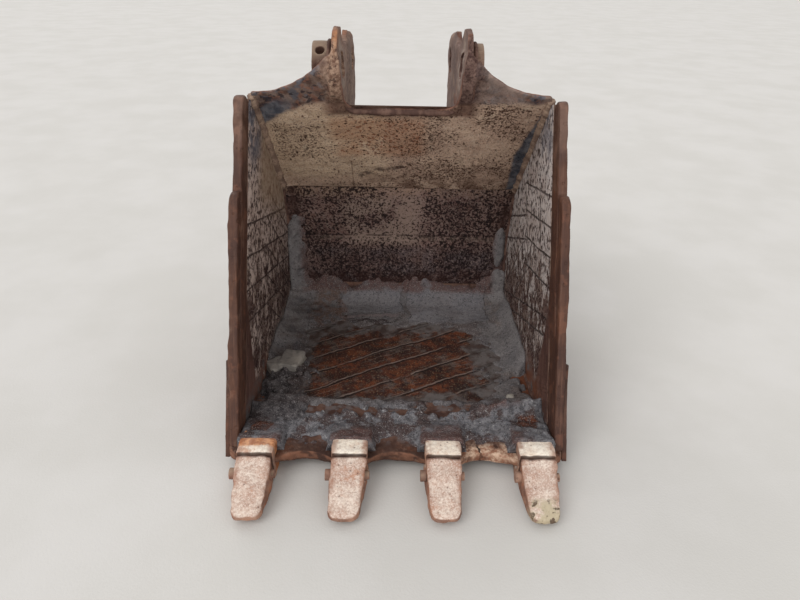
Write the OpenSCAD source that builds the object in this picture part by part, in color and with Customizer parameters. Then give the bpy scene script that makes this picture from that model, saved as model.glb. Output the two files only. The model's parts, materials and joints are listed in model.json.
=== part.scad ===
// Digging bucket of a crawler excavator: an open welded shell of bent plates, a thick
// scalloped lip with four pinned teeth on adapters, bars and cutters along the mouth's
// sides, wear strips below, and two ears with bores for the arm pin and the link pin.
// Millimetres. +Z is up, +Y runs from the teeth to the back, +X is right seen from the
// mouth. The origin is the middle of the arm pin's axis. It stands on its wear strips.

/* [Hinge] */
// Height of the arm pin above the ground
pin_h = 1040; // [990:5:1100]
// Distance from the arm pin back to the link pin
link_back = 400; // [370:5:430]
// Drop from the arm pin to the link pin
link_drop = 38; // [20:2:60]
// Diameter of both pin bores
pin_d = 80; // [65:1:90]
// Clear width between the two ears
ear_gap = 350; // [310:5:380]
// Thickness of an ear plate
ear_t = 38; // [30:1:50]
// Radius of the ear around the arm pin
arm_lobe_r = 108; // [95:1:120]
// Radius of the ear around the link pin
link_lobe_r = 90; // [80:1:100]
// Radius of the bosses on the outside of the ears
boss_r = 66; // [58:1:76]
// Length of a boss
boss_l = 25; // [20:1:30]
// Length of the left arm boss, which holds the pin's locking bolt
lock_boss_l = 50; // [44:1:60]
// Height above the ground of the lower ends of the ears' tails
tail_h = 500; // [440:10:540]

/* [Shell] */
// Width over the side bars at the lip
mouth_w = 985; // [850:5:1100]
// Thickness of the floor, heel, back and box plates
wrap_t = 16; // [12:1:20]
// Thickness of a side plate
side_t = 16; // [12:1:20]
// Distance from the arm pin forward to the lip's edge
reach = 645; // [600:5:700]
// Inside length of the floor, from the lip's edge to the foot of the back
floor_l = 960; // [920:5:1000]
// Lean of the back away from upright, in degrees
back_lean = 4; // [2:0.5:7]
// Inside radius of the heel
heel_r = 90; // [60:5:140]
// Narrowing of each side towards the back, in degrees
taper = 1.2; // [0:0.1:1.6]
// Height above the ground where the inner plate leaves the back
knee_h = 340; // [300:5:380]
// Height above the ground where the inner plate bends forwards
bend_h = 553; // [520:1:590]
// Distance that the inner plate leans forwards from the knee to the bend
bend_lean = 42; // [20:2:60]
// Drop from the arm pin to the edge of the notch between the ears
notch_drop = 127; // [118:1:140]
// Slope of the box's top plate, in degrees
box_slope = 19; // [15:0.5:23]
// Inside radius of the box's bend below the link pin
box_r = 130; // [100:5:160]

/* [Mouth] */
// Angle of the mouth's sides from the ground
mouth_a = 63.6; // [61:0.2:66]
// Width of a side bar across the mouth
bar_t = 28; // [24:1:34]
// Depth of a side bar along the side
bar_d = 65; // [50:1:80]
// Height above the ground of the side bars' top corners
bar_top_h = 980; // [950:2:1000]
// Distance from the arm pin forward to the side bars' top corners
bar_lead = 132; // [120:2:146]
// How far a side cutter stands out in front of its bar, at the top
cutter_d = 45; // [30:1:60]
// Length of a side cutter along the mouth
cutter_l = 740; // [600:10:780]

/* [Cutting edge] */
// Thickness of the lip
lip_t = 40; // [34:1:50]
// Depth of the lip from its edge to its weld
lip_l = 265; // [240:5:290]
// Depth of the worn hollows between the teeth
scallop = 32; // [10:1:38]
// Width of an adapter
adapter_w = 104; // [96:1:112]
// Width of a tooth at its tip
tip_w = 80; // [64:1:92]
// Length of a tooth
tooth_l = 155; // [130:5:220]

/* [Wear] */
// Thickness of the wear strips under the floor
strip_t = 30; // [24:1:36]
// Width of a wear strip
strip_w = 90; // [60:5:110]

/* [Hidden] */
$fn = 96;

// Longer than anything here, for cuts that pass right through
far = 3000;

function dir(a) = [cos(a), sin(a)];
function cross2(u, v) = u[0] * v[1] - u[1] * v[0];
// Where the line through p at angle a meets the line through q at angle b
function meet(p, a, q, b) = p + dir(a) * cross2(q - p, dir(b)) / cross2(dir(a), dir(b));

// Levels and places in the side view, as [y, z]
ground = -pin_h;
floor_under = ground + strip_t;
floor_in = floor_under + wrap_t;
lip_y = -reach;
lip_top = floor_under + lip_t;
link_pin = [link_back, -link_drop];

// The back rises from its foot at this angle
back_a = 90 - back_lean;
foot = [lip_y + floor_l, floor_in];
heel_run = heel_r * tan(back_a / 2);
heel_c = foot + [-heel_run, heel_r];
heel_out = heel_r + wrap_t;

// The inner plate leaves the back at the knee, leans forwards up to the bend, and the
// upper plate's inner face runs on from there up to the notch's edge
knee = foot + dir(back_a) * (ground + knee_h - floor_in) / sin(back_a);
bend = [knee[0] - bend_lean, ground + bend_h];
knee_a = atan2(bend[1] - knee[1], bend[0] - knee[0]);
notch_lead = 10;
notch = [-notch_lead, -notch_drop];
upper_a = atan2(notch[1] - bend[1], notch[0] - bend[0]);
upper_n = dir(upper_a - 90);
notch_top = notch + upper_n * wrap_t;
knee_out = knee + dir(knee_a - 90) * wrap_t;
bend_rear = meet(notch_top, upper_a, knee_out, knee_a);
knee_rear = meet(foot, back_a, knee_out, knee_a);

// The box's top plate runs back from the notch and bends down into the back
top_a = 180 - box_slope;
top_under = notch_top - dir(90 - box_slope) * wrap_t;
box_corner = meet(foot, back_a, top_under, top_a);
box_run = box_r * tan((top_a - back_a) / 2);
box_c = box_corner - dir(back_a) * box_run + dir(back_a + 90) * box_r;
box_out = box_r + wrap_t;

// Where the ear's front edge meets the upper plate's inner face, drawn on upwards
toe = notch + dir(upper_a) * (arm_lobe_r + notch[0]) / -cos(upper_a);
wing_rear_y = toe[0] + wrap_t;
wing_mitre = meet([wing_rear_y, 0], 90, notch_top, upper_a);

// Widths, as distances from the middle plane
side_in = mouth_w / 2 - bar_t;
ear_in = ear_gap / 2;
ear_out = ear_in + ear_t;
function side_in_at(y) = side_in - (y - lip_y) * tan(taper);

// The wings' top edges follow one circle on each side, lowest at the side plate
wing_h = 45;
wing_low = -72;
wing_end = side_in_at(notch[0]);
wing_rise = wing_h - wing_low;
wing_r = (pow(wing_end - ear_out, 2) + pow(wing_rise, 2)) / (2 * wing_rise);
wing_c = [wing_end, wing_low + wing_r];
// Radius of the corners at the bottom of the gap between the ears
notch_r = 40;

// The mouth's sides run from their foot on the lip to the top corner
mouth_run = (ground + bar_top_h - lip_top) / sin(mouth_a);
bar_top = [-bar_lead, ground + bar_top_h];
bar_foot = bar_top - dir(mouth_a) * mouth_run;

// Adapters and teeth: levels are above the lip's underside, places behind the lip's edge
foot_gap = 5;
leg_t = strip_t - foot_gap;
collar_l = 20;
collar_rear = 36;
collar_h = lip_t + 45;
leg_top_l = 145;
leg_low_l = 235;
nose_l = 70;
groove = 5;
tooth_gap = 2;
corner_gap = 12;
tip_low = -12;
tip_h = 24;
tooth_pin_r = 12;
tooth_pin_y = -collar_l - groove - 26;
tooth_pin_z = 32;
tooth_span = 2 * (side_in - corner_gap) - adapter_w;
// Middle of each tooth across the bucket
tooth_x = [for (i = [0 : 3]) (i / 3 - 0.5) * tooth_span];

// A flat shape drawn in [y, z], made w wide along X and centred on x
module slab(w, x = 0) {
    translate([x - w / 2, 0, 0]) rotate([90, 0, 90]) linear_extrude(w) children();
}

// A flat shape drawn in [x, y], made into an upright column
module in_plan() {
    translate([0, 0, -far / 2]) linear_extrude(far) children();
}

// A bent plate's round stretch between two angles about its centre
module bend_ring(c, r, a0, a1) {
    reach_out = 2 * (r + wrap_t);
    intersection() {
        translate(c) difference() {
            circle(r + wrap_t);
            circle(r);
        }
        polygon([c, c + dir(a0) * reach_out, c + dir((a0 + a1) / 2) * reach_out,
                 c + dir(a1) * reach_out]);
    }
}

// Keeps what lies between the side plates' inner faces, or up to out beyond them
module between_sides(out = 0) {
    y0 = -far / 2;
    y1 = far / 2;
    x0 = side_in_at(y0) + out / cos(taper);
    x1 = side_in_at(y1) + out / cos(taper);
    intersection() {
        children();
        in_plan() polygon([[-x0, y0], [x0, y0], [x1, y1], [-x1, y1]]);
    }
}

// Puts a piece drawn at x from 0 outwards against one side's inner face
module on_side(s) {
    mirror([s < 0 ? 1 : 0, 0, 0])
        translate([side_in, lip_y, 0]) rotate([0, 0, taper]) translate([0, -lip_y, 0])
            children();
}

// Flat coordinates along the mouth's side: x up the mouth, y forwards
module along_mouth() {
    translate(bar_foot) rotate(mouth_a) children();
}

// The lip's section, with the worn bevel under its edge
module lip_section() {
    translate([lip_y, floor_under])
        polygon([[0, 0.45 * lip_t], [0.9 * lip_t, 0], [lip_l, 0], [lip_l, lip_t],
                 [0.2 * lip_t, lip_t], [0, 0.8 * lip_t]]);
}

// The closed box below the ears, out to its outer faces
module box_section() {
    union() {
        polygon([notch, bend, knee, knee + dir(back_a - 90) * wrap_t,
                 box_c + dir(back_a - 90) * box_out, box_c + dir(top_a - 90) * box_out,
                 notch_top]);
        translate(box_c) circle(box_out);
    }
}

module floor_plate() {
    color("#6e6a66") between_sides() slab(mouth_w)
        polygon([[lip_y + lip_l, floor_under], [heel_c[0], floor_under],
                 [heel_c[0], floor_in], [lip_y + lip_l, floor_in]]);
}

module heel_plate() {
    color("#6e625a") between_sides() slab(mouth_w) bend_ring(heel_c, heel_r, -90, back_a - 90);
}

module back_plate() {
    n = dir(back_a - 90) * wrap_t;
    low = heel_c + dir(back_a - 90) * heel_r;
    high = box_c + dir(back_a - 90) * box_r;
    color("#4e3a34") between_sides() slab(mouth_w) polygon([low, low + n, high + n, high]);
}

module box_bend() {
    color("#6b5148") between_sides() slab(mouth_w)
        bend_ring(box_c, box_r, back_a - 90, top_a - 90);
}

module box_top() {
    n = dir(top_a - 90) * wrap_t;
    rear = box_c + dir(top_a - 90) * box_r;
    color("#7a5a4c") between_sides() slab(mouth_w)
        polygon([rear, rear + n, notch_top, meet(notch_top, upper_a, top_under, top_a)]);
}

// Cuts the wings' hollow top edges on both sides
module wing_curves() {
    for (s = [-1, 1])
        translate([s * wing_c[0], 0, wing_c[1]]) rotate([90, 0, 0])
            cylinder(h = far, r = wing_r, center = true, $fn = 180);
}

// The inner plate between the knee and the bend
module upper_back() {
    color("#4e3a34") between_sides() slab(mouth_w)
        polygon([knee, bend, bend_rear, knee_rear]);
}

// The gap for the arm's foot, with round corners at its bottom
module notch_gap() {
    deep = far / 4;
    rotate([90, 0, 0]) linear_extrude(deep, center = true) {
        translate([-ear_in, notch[1] + notch_r]) square([2 * ear_in, deep]);
        translate([notch_r - ear_in, notch[1]]) square([2 * (ear_in - notch_r), deep]);
        for (s = [-1, 1]) translate([s * (ear_in - notch_r), notch[1] + notch_r])
            circle(notch_r);
    }
}

module upper_plate() {
    // Above the notch's edge the ears take the plate's place
    cut_low = notch - upper_n * wrap_t;
    cut_high = notch_top + upper_n * wrap_t;
    above = dir(upper_a) * far / 4;
    color("#94806a") difference() {
        between_sides() slab(mouth_w) polygon([bend, toe, wing_mitre, bend_rear]);
        for (s = [-1, 1]) slab(ear_t, s * (ear_in + ear_t / 2))
            polygon([cut_low, cut_high, cut_high + above, cut_low + above]);
        notch_gap();
        wing_curves();
    }
}

// The upright end of a wing, where it rises against its ear
module wing(s) {
    wing_w = (wing_end - ear_out) / 2;
    color("#8a7466") difference() {
        slab(wing_w, s * (ear_out + wing_w / 2))
            polygon([toe, wing_mitre, [wing_rear_y, wing_h], [toe[0], wing_h]]);
        wing_curves();
    }
}

// A side plate's outline: the shell's outer face, the mouth's side and the top edge
module side_section() {
    difference() {
        union() {
            polygon([[lip_y, floor_under], heel_c + dir(-90) * heel_out,
                     heel_c + dir(back_a - 90) * heel_out,
                     box_c + dir(back_a - 90) * box_out, box_c + dir(top_a - 90) * box_out,
                     notch_top, bar_top + dir(mouth_a - 90) * bar_d,
                     bar_foot + dir(mouth_a - 90) * bar_d]);
            translate(heel_c) circle(heel_out);
            translate(box_c) circle(box_out);
        }
        translate([lip_y - 1, floor_under - 1]) square([lip_l + 1, lip_t + 1]);
        along_mouth() translate([-far / 2, -bar_d]) square([far, far / 4]);
    }
}

module side_plate(s) {
    color("#7d5a4e") on_side(s) slab(side_t, side_t / 2) side_section();
}

module side_bar(s) {
    end_r = bar_d / 2;
    color("#7a4a3c") on_side(s) slab(bar_t, bar_t / 2) difference() {
        along_mouth() union() {
            translate([-bar_d, -bar_d]) square([mouth_run + bar_d - end_r, bar_d]);
            translate([mouth_run - end_r, -end_r]) circle(end_r);
        }
        translate([lip_y - far / 2, lip_top - far / 2]) square([far, far / 2]);
    }
}

// A side cutter's outline: deepest at its round top, worn back towards the lip
module cutter_section() {
    low_d = 0.4 * cutter_d;
    difference() {
        along_mouth() {
            polygon([[-bar_d, 0], [cutter_l - cutter_d, 0], [cutter_l - cutter_d, cutter_d],
                     [0.6 * cutter_l, 0.9 * cutter_d], [0, low_d], [-bar_d, low_d]]);
            intersection() {
                translate([cutter_l - cutter_d, 0]) circle(cutter_d);
                translate([cutter_l - cutter_d, 0]) square(cutter_d);
            }
        }
        translate([lip_y - far / 2, lip_top - far / 2]) square([far, far / 2]);
    }
}

module side_cutter(s) {
    color("#6e4438") on_side(s) slab(bar_t, bar_t / 2) cutter_section();
}

// A wear plate on the outside of each bottom corner, from the bar back past the lip
module corner_shoe(s) {
    shoe_h = 220;
    heel_h = 60;
    front = lip_y + lip_t;
    rear = lip_y + lip_l;
    top = bar_foot + dir(mouth_a) * shoe_h / sin(mouth_a);
    color("#6e4438") on_side(s) slab(side_t, bar_t + side_t / 2)
        polygon([[front, floor_under], bar_foot, top, top + dir(mouth_a - 90) * bar_d,
                 [rear, floor_under + heel_h], [rear, floor_under]]);
}

// The lip spans the whole mouth: worn hollows lie between the teeth, and its outer
// corners are cut back to the feet of the side bars
module cutting_lip() {
    half_gap = (tooth_x[1] - tooth_x[0] - adapter_w) / 2;
    hollow_r = (half_gap * half_gap + scallop * scallop) / (2 * scallop);
    corner_cut = 42;
    color("#80492e") difference() {
        between_sides(bar_t) slab(2 * mouth_w) lip_section();
        for (s = [-1, 1]) in_plan()
            polygon([[s * (side_in - corner_gap), lip_y - 1], [s * mouth_w, lip_y - 1],
                     [s * mouth_w, lip_y + corner_cut], [s * mouth_w / 2, lip_y + corner_cut],
                     [s * (side_in - corner_gap), lip_y]]);
        for (i = [0 : 2])
            translate([(tooth_x[i] + tooth_x[i + 1]) / 2, lip_y + scallop - hollow_r,
                       floor_under - 1])
                cylinder(h = lip_t + 2, r = hollow_r, $fn = 180);
    }
}

// An adapter's side view: two legs over the lip, a collar, without the nose
module adapter_section() {
    difference() {
        translate([lip_y, floor_under])
            polygon([[-collar_l, -leg_t + 4], [-collar_l + 25, -leg_t],
                     [leg_low_l - 40, -leg_t], [leg_low_l, -8], [leg_low_l, 0.5 * lip_t],
                     [leg_top_l, 0.5 * lip_t], [leg_top_l, lip_t + 10],
                     [collar_rear, collar_h],
                     [-collar_l, collar_h - 3]]);
        lip_section();
        translate([lip_y + 0.9 * lip_t, floor_under]) square([lip_l, lip_t]);
    }
}

// The nose that carries the tooth, as a wedge in the side view and in plan
module nose() {
    back = lip_y - collar_l;
    end = back - nose_l;
    half_back = 0.365 * adapter_w;
    half_end = 0.27 * adapter_w;
    intersection() {
        slab(adapter_w) translate([0, floor_under])
            polygon([[back, -8], [back, 66], [end, 40], [end, 10]]);
        in_plan() polygon([[-half_back, back], [half_back, back],
                           [half_end, end], [-half_end, end]]);
    }
}

module tooth_pin_hole(r) {
    translate([0, lip_y + tooth_pin_y, floor_under + tooth_pin_z]) rotate([0, 90, 0])
        cylinder(h = 2 * adapter_w, r = r, center = true, $fn = 48);
}

module adapter(i) {
    color("#b29a86") translate([tooth_x[i - 1], 0, 0]) difference() {
        union() {
            slab(adapter_w) adapter_section();
            nose();
        }
        tooth_pin_hole(tooth_pin_r);
    }
}

// A tooth: a blunt wedge in the side view and in plan, hollow for the adapter's nose
module tooth(i) {
    back = lip_y - collar_l - groove;
    tip = back - tooth_l;
    half = adapter_w / 2 - tooth_gap;
    low = floor_under;
    nick = 9;
    cheek = 30;
    color("#c0a592") translate([tooth_x[i - 1], 0, 0]) difference() {
        intersection() {
            slab(adapter_w)
                polygon([[back, low - leg_t + 4], [back, low + collar_h - 6],
                         [tip + nick, low + tip_low + tip_h + 3],
                         [tip, low + tip_low + tip_h - 6],
                         [tip, low + tip_low + 4], [tip + nick, low + tip_low]]);
            in_plan()
                polygon([[-half, back], [half, back], [half, back - cheek],
                         [tip_w / 2, tip + nick], [tip_w / 2 - nick, tip],
                         [-tip_w / 2 + nick, tip], [-tip_w / 2, tip + nick],
                         [-half, back - cheek]]);
        }
        nose();
        tooth_pin_hole(tooth_pin_r);
    }
}

// The pin through a tooth and its nose, with a head at the left end
module tooth_pin(i) {
    shank = adapter_w + 12;
    head = 16;
    color("#8c6a58")
        translate([tooth_x[i - 1], lip_y + tooth_pin_y, floor_under + tooth_pin_z])
            rotate([0, 90, 0]) union() {
                cylinder(h = shank, r = tooth_pin_r, center = true, $fn = 48);
                translate([0, 0, -adapter_w / 2 - head + tooth_gap])
                    cylinder(h = head, r = tooth_pin_r + 4, $fn = 48);
            }
}

// An ear's outline: a lobe round each pin, a dip between them and a tail down the back
module ear_section() {
    tail = foot + dir(back_a) * (ground + tail_h - floor_in) / sin(back_a)
           + dir(back_a - 90) * wrap_t;
    tail_end = [10, 0];
    dip_r = 180;
    dip_deep = 42;
    dip = [link_back / 2, (arm_lobe_r + link_lobe_r - link_drop) / 2 + dip_r - dip_deep];
    difference() {
        union() {
            circle(arm_lobe_r);
            translate(link_pin) circle(link_lobe_r);
            polygon([[-arm_lobe_r, 0], toe, notch, bend, tail, tail + tail_end,
                     link_pin + [link_lobe_r, 0], link_pin + [0, link_lobe_r],
                     [0, arm_lobe_r]]);
        }
        box_section();
        translate(dip) circle(dip_r, $fn = 128);
        circle(pin_d / 2);
        translate(link_pin) circle(pin_d / 2);
    }
}

module ear(s) {
    color("#85604f") slab(ear_t, s * (ear_in + ear_t / 2)) ear_section();
}

// A ring round a pin's bore on the outside of an ear
module boss(s, at, l) {
    translate([s * (ear_out + l / 2), at[0], at[1]]) rotate([0, 90, 0]) difference() {
        cylinder(h = l, r = boss_r, center = true);
        cylinder(h = l + 2, r = pin_d / 2, center = true);
    }
}

// The left arm boss is the long one, with the hole for the pin's locking bolt
module arm_boss(s) {
    bolt_r = 13;
    color("#7b5648") difference() {
        boss(s, [0, 0], s < 0 ? lock_boss_l : boss_l);
        if (s < 0)
            translate([-ear_out - lock_boss_l / 2, 0, 0]) rotate([45, 0, 0])
                cylinder(h = 2 * boss_r, r = bolt_r, $fn = 48);
    }
}

module link_boss(s) {
    color("#7b5648") boss(s, link_pin, boss_l);
}

// Where the wear strips lie across the bucket, and where they start behind the lip
strip_inset = 30;
strip_x = [for (i = [-1 : 1]) i * (side_in - strip_w / 2 - strip_inset)];
strip_y = lip_y + lip_l + strip_inset;

module floor_strips() {
    color("#5e5350") for (x = strip_x)
        slab(strip_w, x) translate([strip_y, ground]) square([heel_c[0] - strip_y, strip_t]);
}

module heel_strips() {
    color("#5e5350") for (x = strip_x)
        slab(strip_w, x) intersection() {
            translate(heel_c) difference() {
                circle(heel_out + strip_t);
                circle(heel_out);
            }
            polygon([heel_c, heel_c + [0, -far], heel_c + [far, -far], heel_c + [far, 0]]);
        }
}

floor_plate();
heel_plate();
back_plate();
box_bend();
box_top();
upper_back();
upper_plate();
wing(-1);  // wing_left
wing(1);  // wing_right
side_plate(-1);  // side_plate_left
side_plate(1);  // side_plate_right
side_bar(-1);  // side_bar_left
side_bar(1);  // side_bar_right
side_cutter(-1);  // side_cutter_left
side_cutter(1);  // side_cutter_right
cutting_lip();
adapter(1);  // adapter_1
adapter(2);  // adapter_2
adapter(3);  // adapter_3
adapter(4);  // adapter_4
tooth(1);  // tooth_1
tooth(2);  // tooth_2
tooth(3);  // tooth_3
tooth(4);  // tooth_4
tooth_pin(1);  // tooth_pin_1
tooth_pin(2);  // tooth_pin_2
tooth_pin(3);  // tooth_pin_3
tooth_pin(4);  // tooth_pin_4
ear(-1);  // ear_left
ear(1);  // ear_right
arm_boss(-1);  // arm_boss_left
arm_boss(1);  // arm_boss_right
link_boss(-1);  // link_boss_left
link_boss(1);  // link_boss_right
corner_shoe(-1);  // corner_shoe_left
corner_shoe(1);  // corner_shoe_right
floor_strips();
heel_strips();
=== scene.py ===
import json
import math

import bpy
import numpy as np
from mathutils import Matrix, Vector


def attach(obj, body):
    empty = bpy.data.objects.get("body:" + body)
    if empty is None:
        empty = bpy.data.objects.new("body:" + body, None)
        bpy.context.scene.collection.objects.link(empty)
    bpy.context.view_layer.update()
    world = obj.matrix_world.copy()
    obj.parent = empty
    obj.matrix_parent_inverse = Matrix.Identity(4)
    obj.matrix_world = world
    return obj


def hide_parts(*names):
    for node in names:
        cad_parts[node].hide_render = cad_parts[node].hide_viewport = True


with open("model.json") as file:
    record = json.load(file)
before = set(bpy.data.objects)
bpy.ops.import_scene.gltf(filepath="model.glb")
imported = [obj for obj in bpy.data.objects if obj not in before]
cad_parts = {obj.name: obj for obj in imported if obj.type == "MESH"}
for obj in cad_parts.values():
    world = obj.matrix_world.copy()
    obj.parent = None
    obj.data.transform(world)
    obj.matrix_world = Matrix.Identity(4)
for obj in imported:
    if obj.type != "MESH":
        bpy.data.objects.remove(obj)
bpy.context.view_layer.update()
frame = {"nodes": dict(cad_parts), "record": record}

# Sizes from part.scad, in metres
GROUND = -1.040
FLOOR_UNDER = GROUND + 0.030
FLOOR_IN = GROUND + 0.046
LIP_TOP = GROUND + 0.070
LIP_Y = -0.645
LIP_REAR = LIP_Y + 0.265
WRAP_T = 0.016
SIDE_T = 0.016
BAR_T, BAR_D = 0.028, 0.065
EAR_IN, EAR_OUT = 0.175, 0.213
ARM_LOBE_R, LINK_LOBE_R = 0.108, 0.090
PIN_R, BOSS_R = 0.040, 0.066
LINK_PIN = (0.400, -0.038)
NOTCH = (-0.010, -0.127)
BEND = (0.2936, -0.487)
# The upper plate's outward direction, y and z
PLATE_OUT = (0.770, 0.637)
KNEE = (0.3356, -0.700)
FOOT = (0.315, FLOOR_IN)
SIDE_IN, TAPER = 0.4645, math.tan(math.radians(1.2))
MOUTH_TOP = (-0.132, -0.060)
MOUTH_ANGLE = math.radians(63.6)
MOUTH_COS, MOUTH_SIN = math.cos(MOUTH_ANGLE), math.sin(MOUTH_ANGLE)
TOOTH_X = [(i / 3 - 0.5) * 0.801 for i in range(4)]
ADAPTER_W = 0.104
# The outer floor strips' middle in from the side plates, and a strip's edge from its own middle
STRIP_INSET, STRIP_EDGE = 0.075, 0.046
SIDES = ((-1, "left"), (1, "right"))

# The floor's bare patch: its middle x and y, and half its width and depth
BARE = (-0.01, -0.135, 0.335, 0.255)
# Where the side plates' feet are bare, from y to y
BARE_FOOT = (-0.40, -0.20)


def side_in_at(y):
    """Distance from the middle plane to a side plate's inner face."""
    return SIDE_IN - (y - LIP_Y) * TAPER


# Colours are red, green and blue as a screen shows them, from 0 to 255
# The first, near black, is painted shade: on the back's knee line, beside the floor's gouges and in the
# lip's crack
SHADE_BLACK = (38, 28, 26)
PIT = (62, 38, 30)
DARK_RUST = (70, 42, 34)
BROWN = (90, 66, 57)
RED_BROWN = (114, 81, 69)
WORN = (118, 82, 68)
TAN = (170, 148, 126)
PALE = (190, 172, 152)
DIRT = (108, 103, 102)


def linear(colour):
    """A screen colour in Blender's linear values."""
    return tuple(v / 255 / 12.92 if v / 255 <= 0.04045 else ((v / 255 + 0.055) / 1.055) ** 2.4
                 for v in colour) + (1.0,)


class Value:
    """What a node gives out. Arithmetic on values adds math nodes."""

    def __init__(self, paint, socket):
        self.paint, self.socket = paint, socket

    def __add__(self, other):
        return self.paint.math("ADD", self, other)

    def __radd__(self, other):
        return self.paint.math("ADD", other, self)

    def __sub__(self, other):
        return self.paint.math("SUBTRACT", self, other)

    def __rsub__(self, other):
        return self.paint.math("SUBTRACT", other, self)

    def __mul__(self, other):
        return self.paint.math("MULTIPLY", self, other)

    def __truediv__(self, other):
        return self.paint.math("DIVIDE", self, other)

    def __abs__(self):
        return self.paint.math("ABSOLUTE", self)


class Paint:
    """One node material, painted in layers. Its colour is what has been laid so far."""

    def __init__(self, name, roughness=0.85, specular=0.25):
        self.material = bpy.data.materials.new(name)
        self.material.use_nodes = True
        self.nodes = self.material.node_tree.nodes
        self.shader = self.nodes["Principled BSDF"]
        self.put(self.shader, {"Roughness": roughness, "Specular IOR Level": specular})
        self.at = self.node("TexCoord", out="Object")
        self.x, self.y, self.z = self.parts(self.at)
        self.nx, self.ny, self.nz = self.parts(self.node("NewGeometry", out="Normal"))
        self.colour = self.relief = None

    def put(self, node, inputs):
        """Sets inputs by number or name: a value is linked, and a colour is made linear."""
        for key, value in dict(inputs).items():
            if isinstance(value, Value):
                self.material.node_tree.links.new(value.socket, node.inputs[key])
            else:
                node.inputs[key].default_value = linear(value) if isinstance(value, tuple) else value

    def node(self, kind, inputs=(), out=0, **settings):
        """Adds a node and gives back one of its outputs."""
        node = self.nodes.new("ShaderNode" + kind)
        for name, value in settings.items():
            setattr(node, name, value)
        self.put(node, inputs)
        return Value(self, node.outputs[out])

    def parts(self, whole, kind="XYZ"):
        """The three parts of a vector or a colour."""
        first = self.node("Separate" + kind, {0: whole})
        return [Value(self, socket) for socket in first.socket.node.outputs]

    def vector(self, x, y, z=0.0):
        """A vector from three parts."""
        return self.node("CombineXYZ", enumerate((x, y, z)))

    def math(self, kind, *values):
        """A math node of the given kind on values and numbers."""
        return self.node("Math", enumerate(values), operation=kind)

    def either(self, *values):
        """The largest of the values."""
        out = values[0]
        for v in values[1:]:
            out = self.math("MAXIMUM", out, v)
        return out

    def span(self, value, low, high, start=0.0, end=1.0):
        """A smooth step from start at low to end at high."""
        return self.node("MapRange", enumerate((value, low, high, start, end)),
                         interpolation_type="SMOOTHSTEP")

    def between(self, value, low, high, soft):
        """1 from low to high, falling to 0 over soft outside them."""
        return self.span(value, low - soft, low) * self.span(value, high, high + soft, 1, 0)

    def noise(self, scale, detail=4.0, rough=0.55, at=None):
        """Noise from 0 to 1, mostly near 0.5, with scale lumps a metre."""
        return self.node("TexNoise", {"Vector": at or self.at, "Scale": scale, "Detail": detail,
                                      "Roughness": rough})

    def patches(self, scale, low, high, detail=4.0, rough=0.55):
        """Ragged patches, 1 inside: noise stepped from low to high."""
        return self.span(self.noise(scale, detail, rough), low, high)

    def wave(self, scale, detail, rough, depth):
        """Noise about 0, depth deep."""
        return (self.noise(scale, detail, rough) - 0.5) * depth

    def spots(self, scale, share, size, at=None):
        """Round spots, 1 inside: share of the cells hold one, size is about its radius."""
        cells = self.node("TexVoronoi", {"Vector": at or self.at, "Scale": scale})
        pick, grow, _ = self.parts(Value(self, cells.socket.node.outputs["Color"]), "Color")
        radius = self.math("MULTIPLY_ADD", grow, size, size * 0.5)
        return self.math("LESS_THAN", pick, share) * self.span(1.0 - cells / radius, 0.0, 0.4)

    def lines(self, across, spacing, width, start=0.0):
        """Thin lines where across is a whole number of spacings after start."""
        away = abs(self.math("FRACT", (across - start) / spacing) - 0.5)
        return self.span(away, 0.5 - width / spacing, 0.5 - 0.3 * width / spacing)

    def stroke(self, u, v, a, b, width):
        """One scratch on the flat coordinates u and v, from point a to point b."""
        length = math.dist(a, b)
        cu, cv = (b[0] - a[0]) / length, (b[1] - a[1]) / length
        du, dv = u - a[0], v - a[1]
        return (self.span(abs(dv * cu - du * cv), width, 0.4 * width)
                * self.between(du * cu + dv * cv, 0.02, length - 0.02, 0.02))

    def mix(self, share, under, over):
        """The colour under where share is 0, and over where it is 1."""
        return self.node("Mix", {0: share, 6: under, 7: over}, out=2, data_type="RGBA")

    def tone(self, low, high, *patch):
        """From low to high in ragged patches, as patches() takes them."""
        return self.mix(self.patches(*patch), low, high)

    def lay(self, share, tone):
        """Lays a tone over the colour so far."""
        self.colour = self.mix(share, self.colour, tone)

    def stained(self, colour, *stains):
        """A colour under ragged stains: each is its share, its tone, and what patches() takes."""
        for share, tone, *patch in stains:
            colour = self.mix(self.patches(*patch) * share, colour, tone)
        return colour

    def stains(self, *stains):
        """Lays stains, in rows as for stained(), over the colour so far."""
        self.colour = self.stained(self.colour, *stains)

    def pitted(self, scale, share, dark, size, strength, at=None):
        """Lays dark round pits, placed as for spots()."""
        pits = self.spots(scale, share, size, at)
        self.bump(pits, -0.0018)
        self.lay(pits * strength, dark)

    def speckled(self, scale, low, dark, where, strength=0.9):
        """Lays dense irregular specks: noise above low, fewer where the mask is low."""
        level = self.noise(scale, 2, 0.6) - (1.0 - where) * 0.12
        specks = self.span(level, low, low + 0.05)
        self.bump(specks, -0.0014)
        self.lay(specks * strength, dark)

    def rust(self, low, high):
        """Rust from low to high in broad clouds, with finer mottling and grit."""
        self.colour = self.tone(low, high, 6, 0.36, 0.64, 6)
        self.stains((0.5, low, 38, 0.45, 0.62, 5))
        self.lay(self.patches(320, 0.5, 0.72, 3, 0.7) * 0.35, self.mix(0.5, high, PALE))
        self.bump(self.noise(150, 5, 0.7), 0.0012)
        self.bump(self.noise(28, 4), 0.0025)

    def weathered(self, low, high):
        """The outside's rust from low to high, under its weather."""
        self.rust(low, high)
        self.weather()

    def weather(self):
        """Lays rain streaks, clouds of dirt, scuffs and dust over the colour so far."""
        runs = self.noise(1, 4, 0.6, at=self.vector(self.x * 45, self.y * 45, self.z * 5))
        self.lay(self.span(runs, 0.52, 0.66) * 0.55, DARK_RUST)
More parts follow.
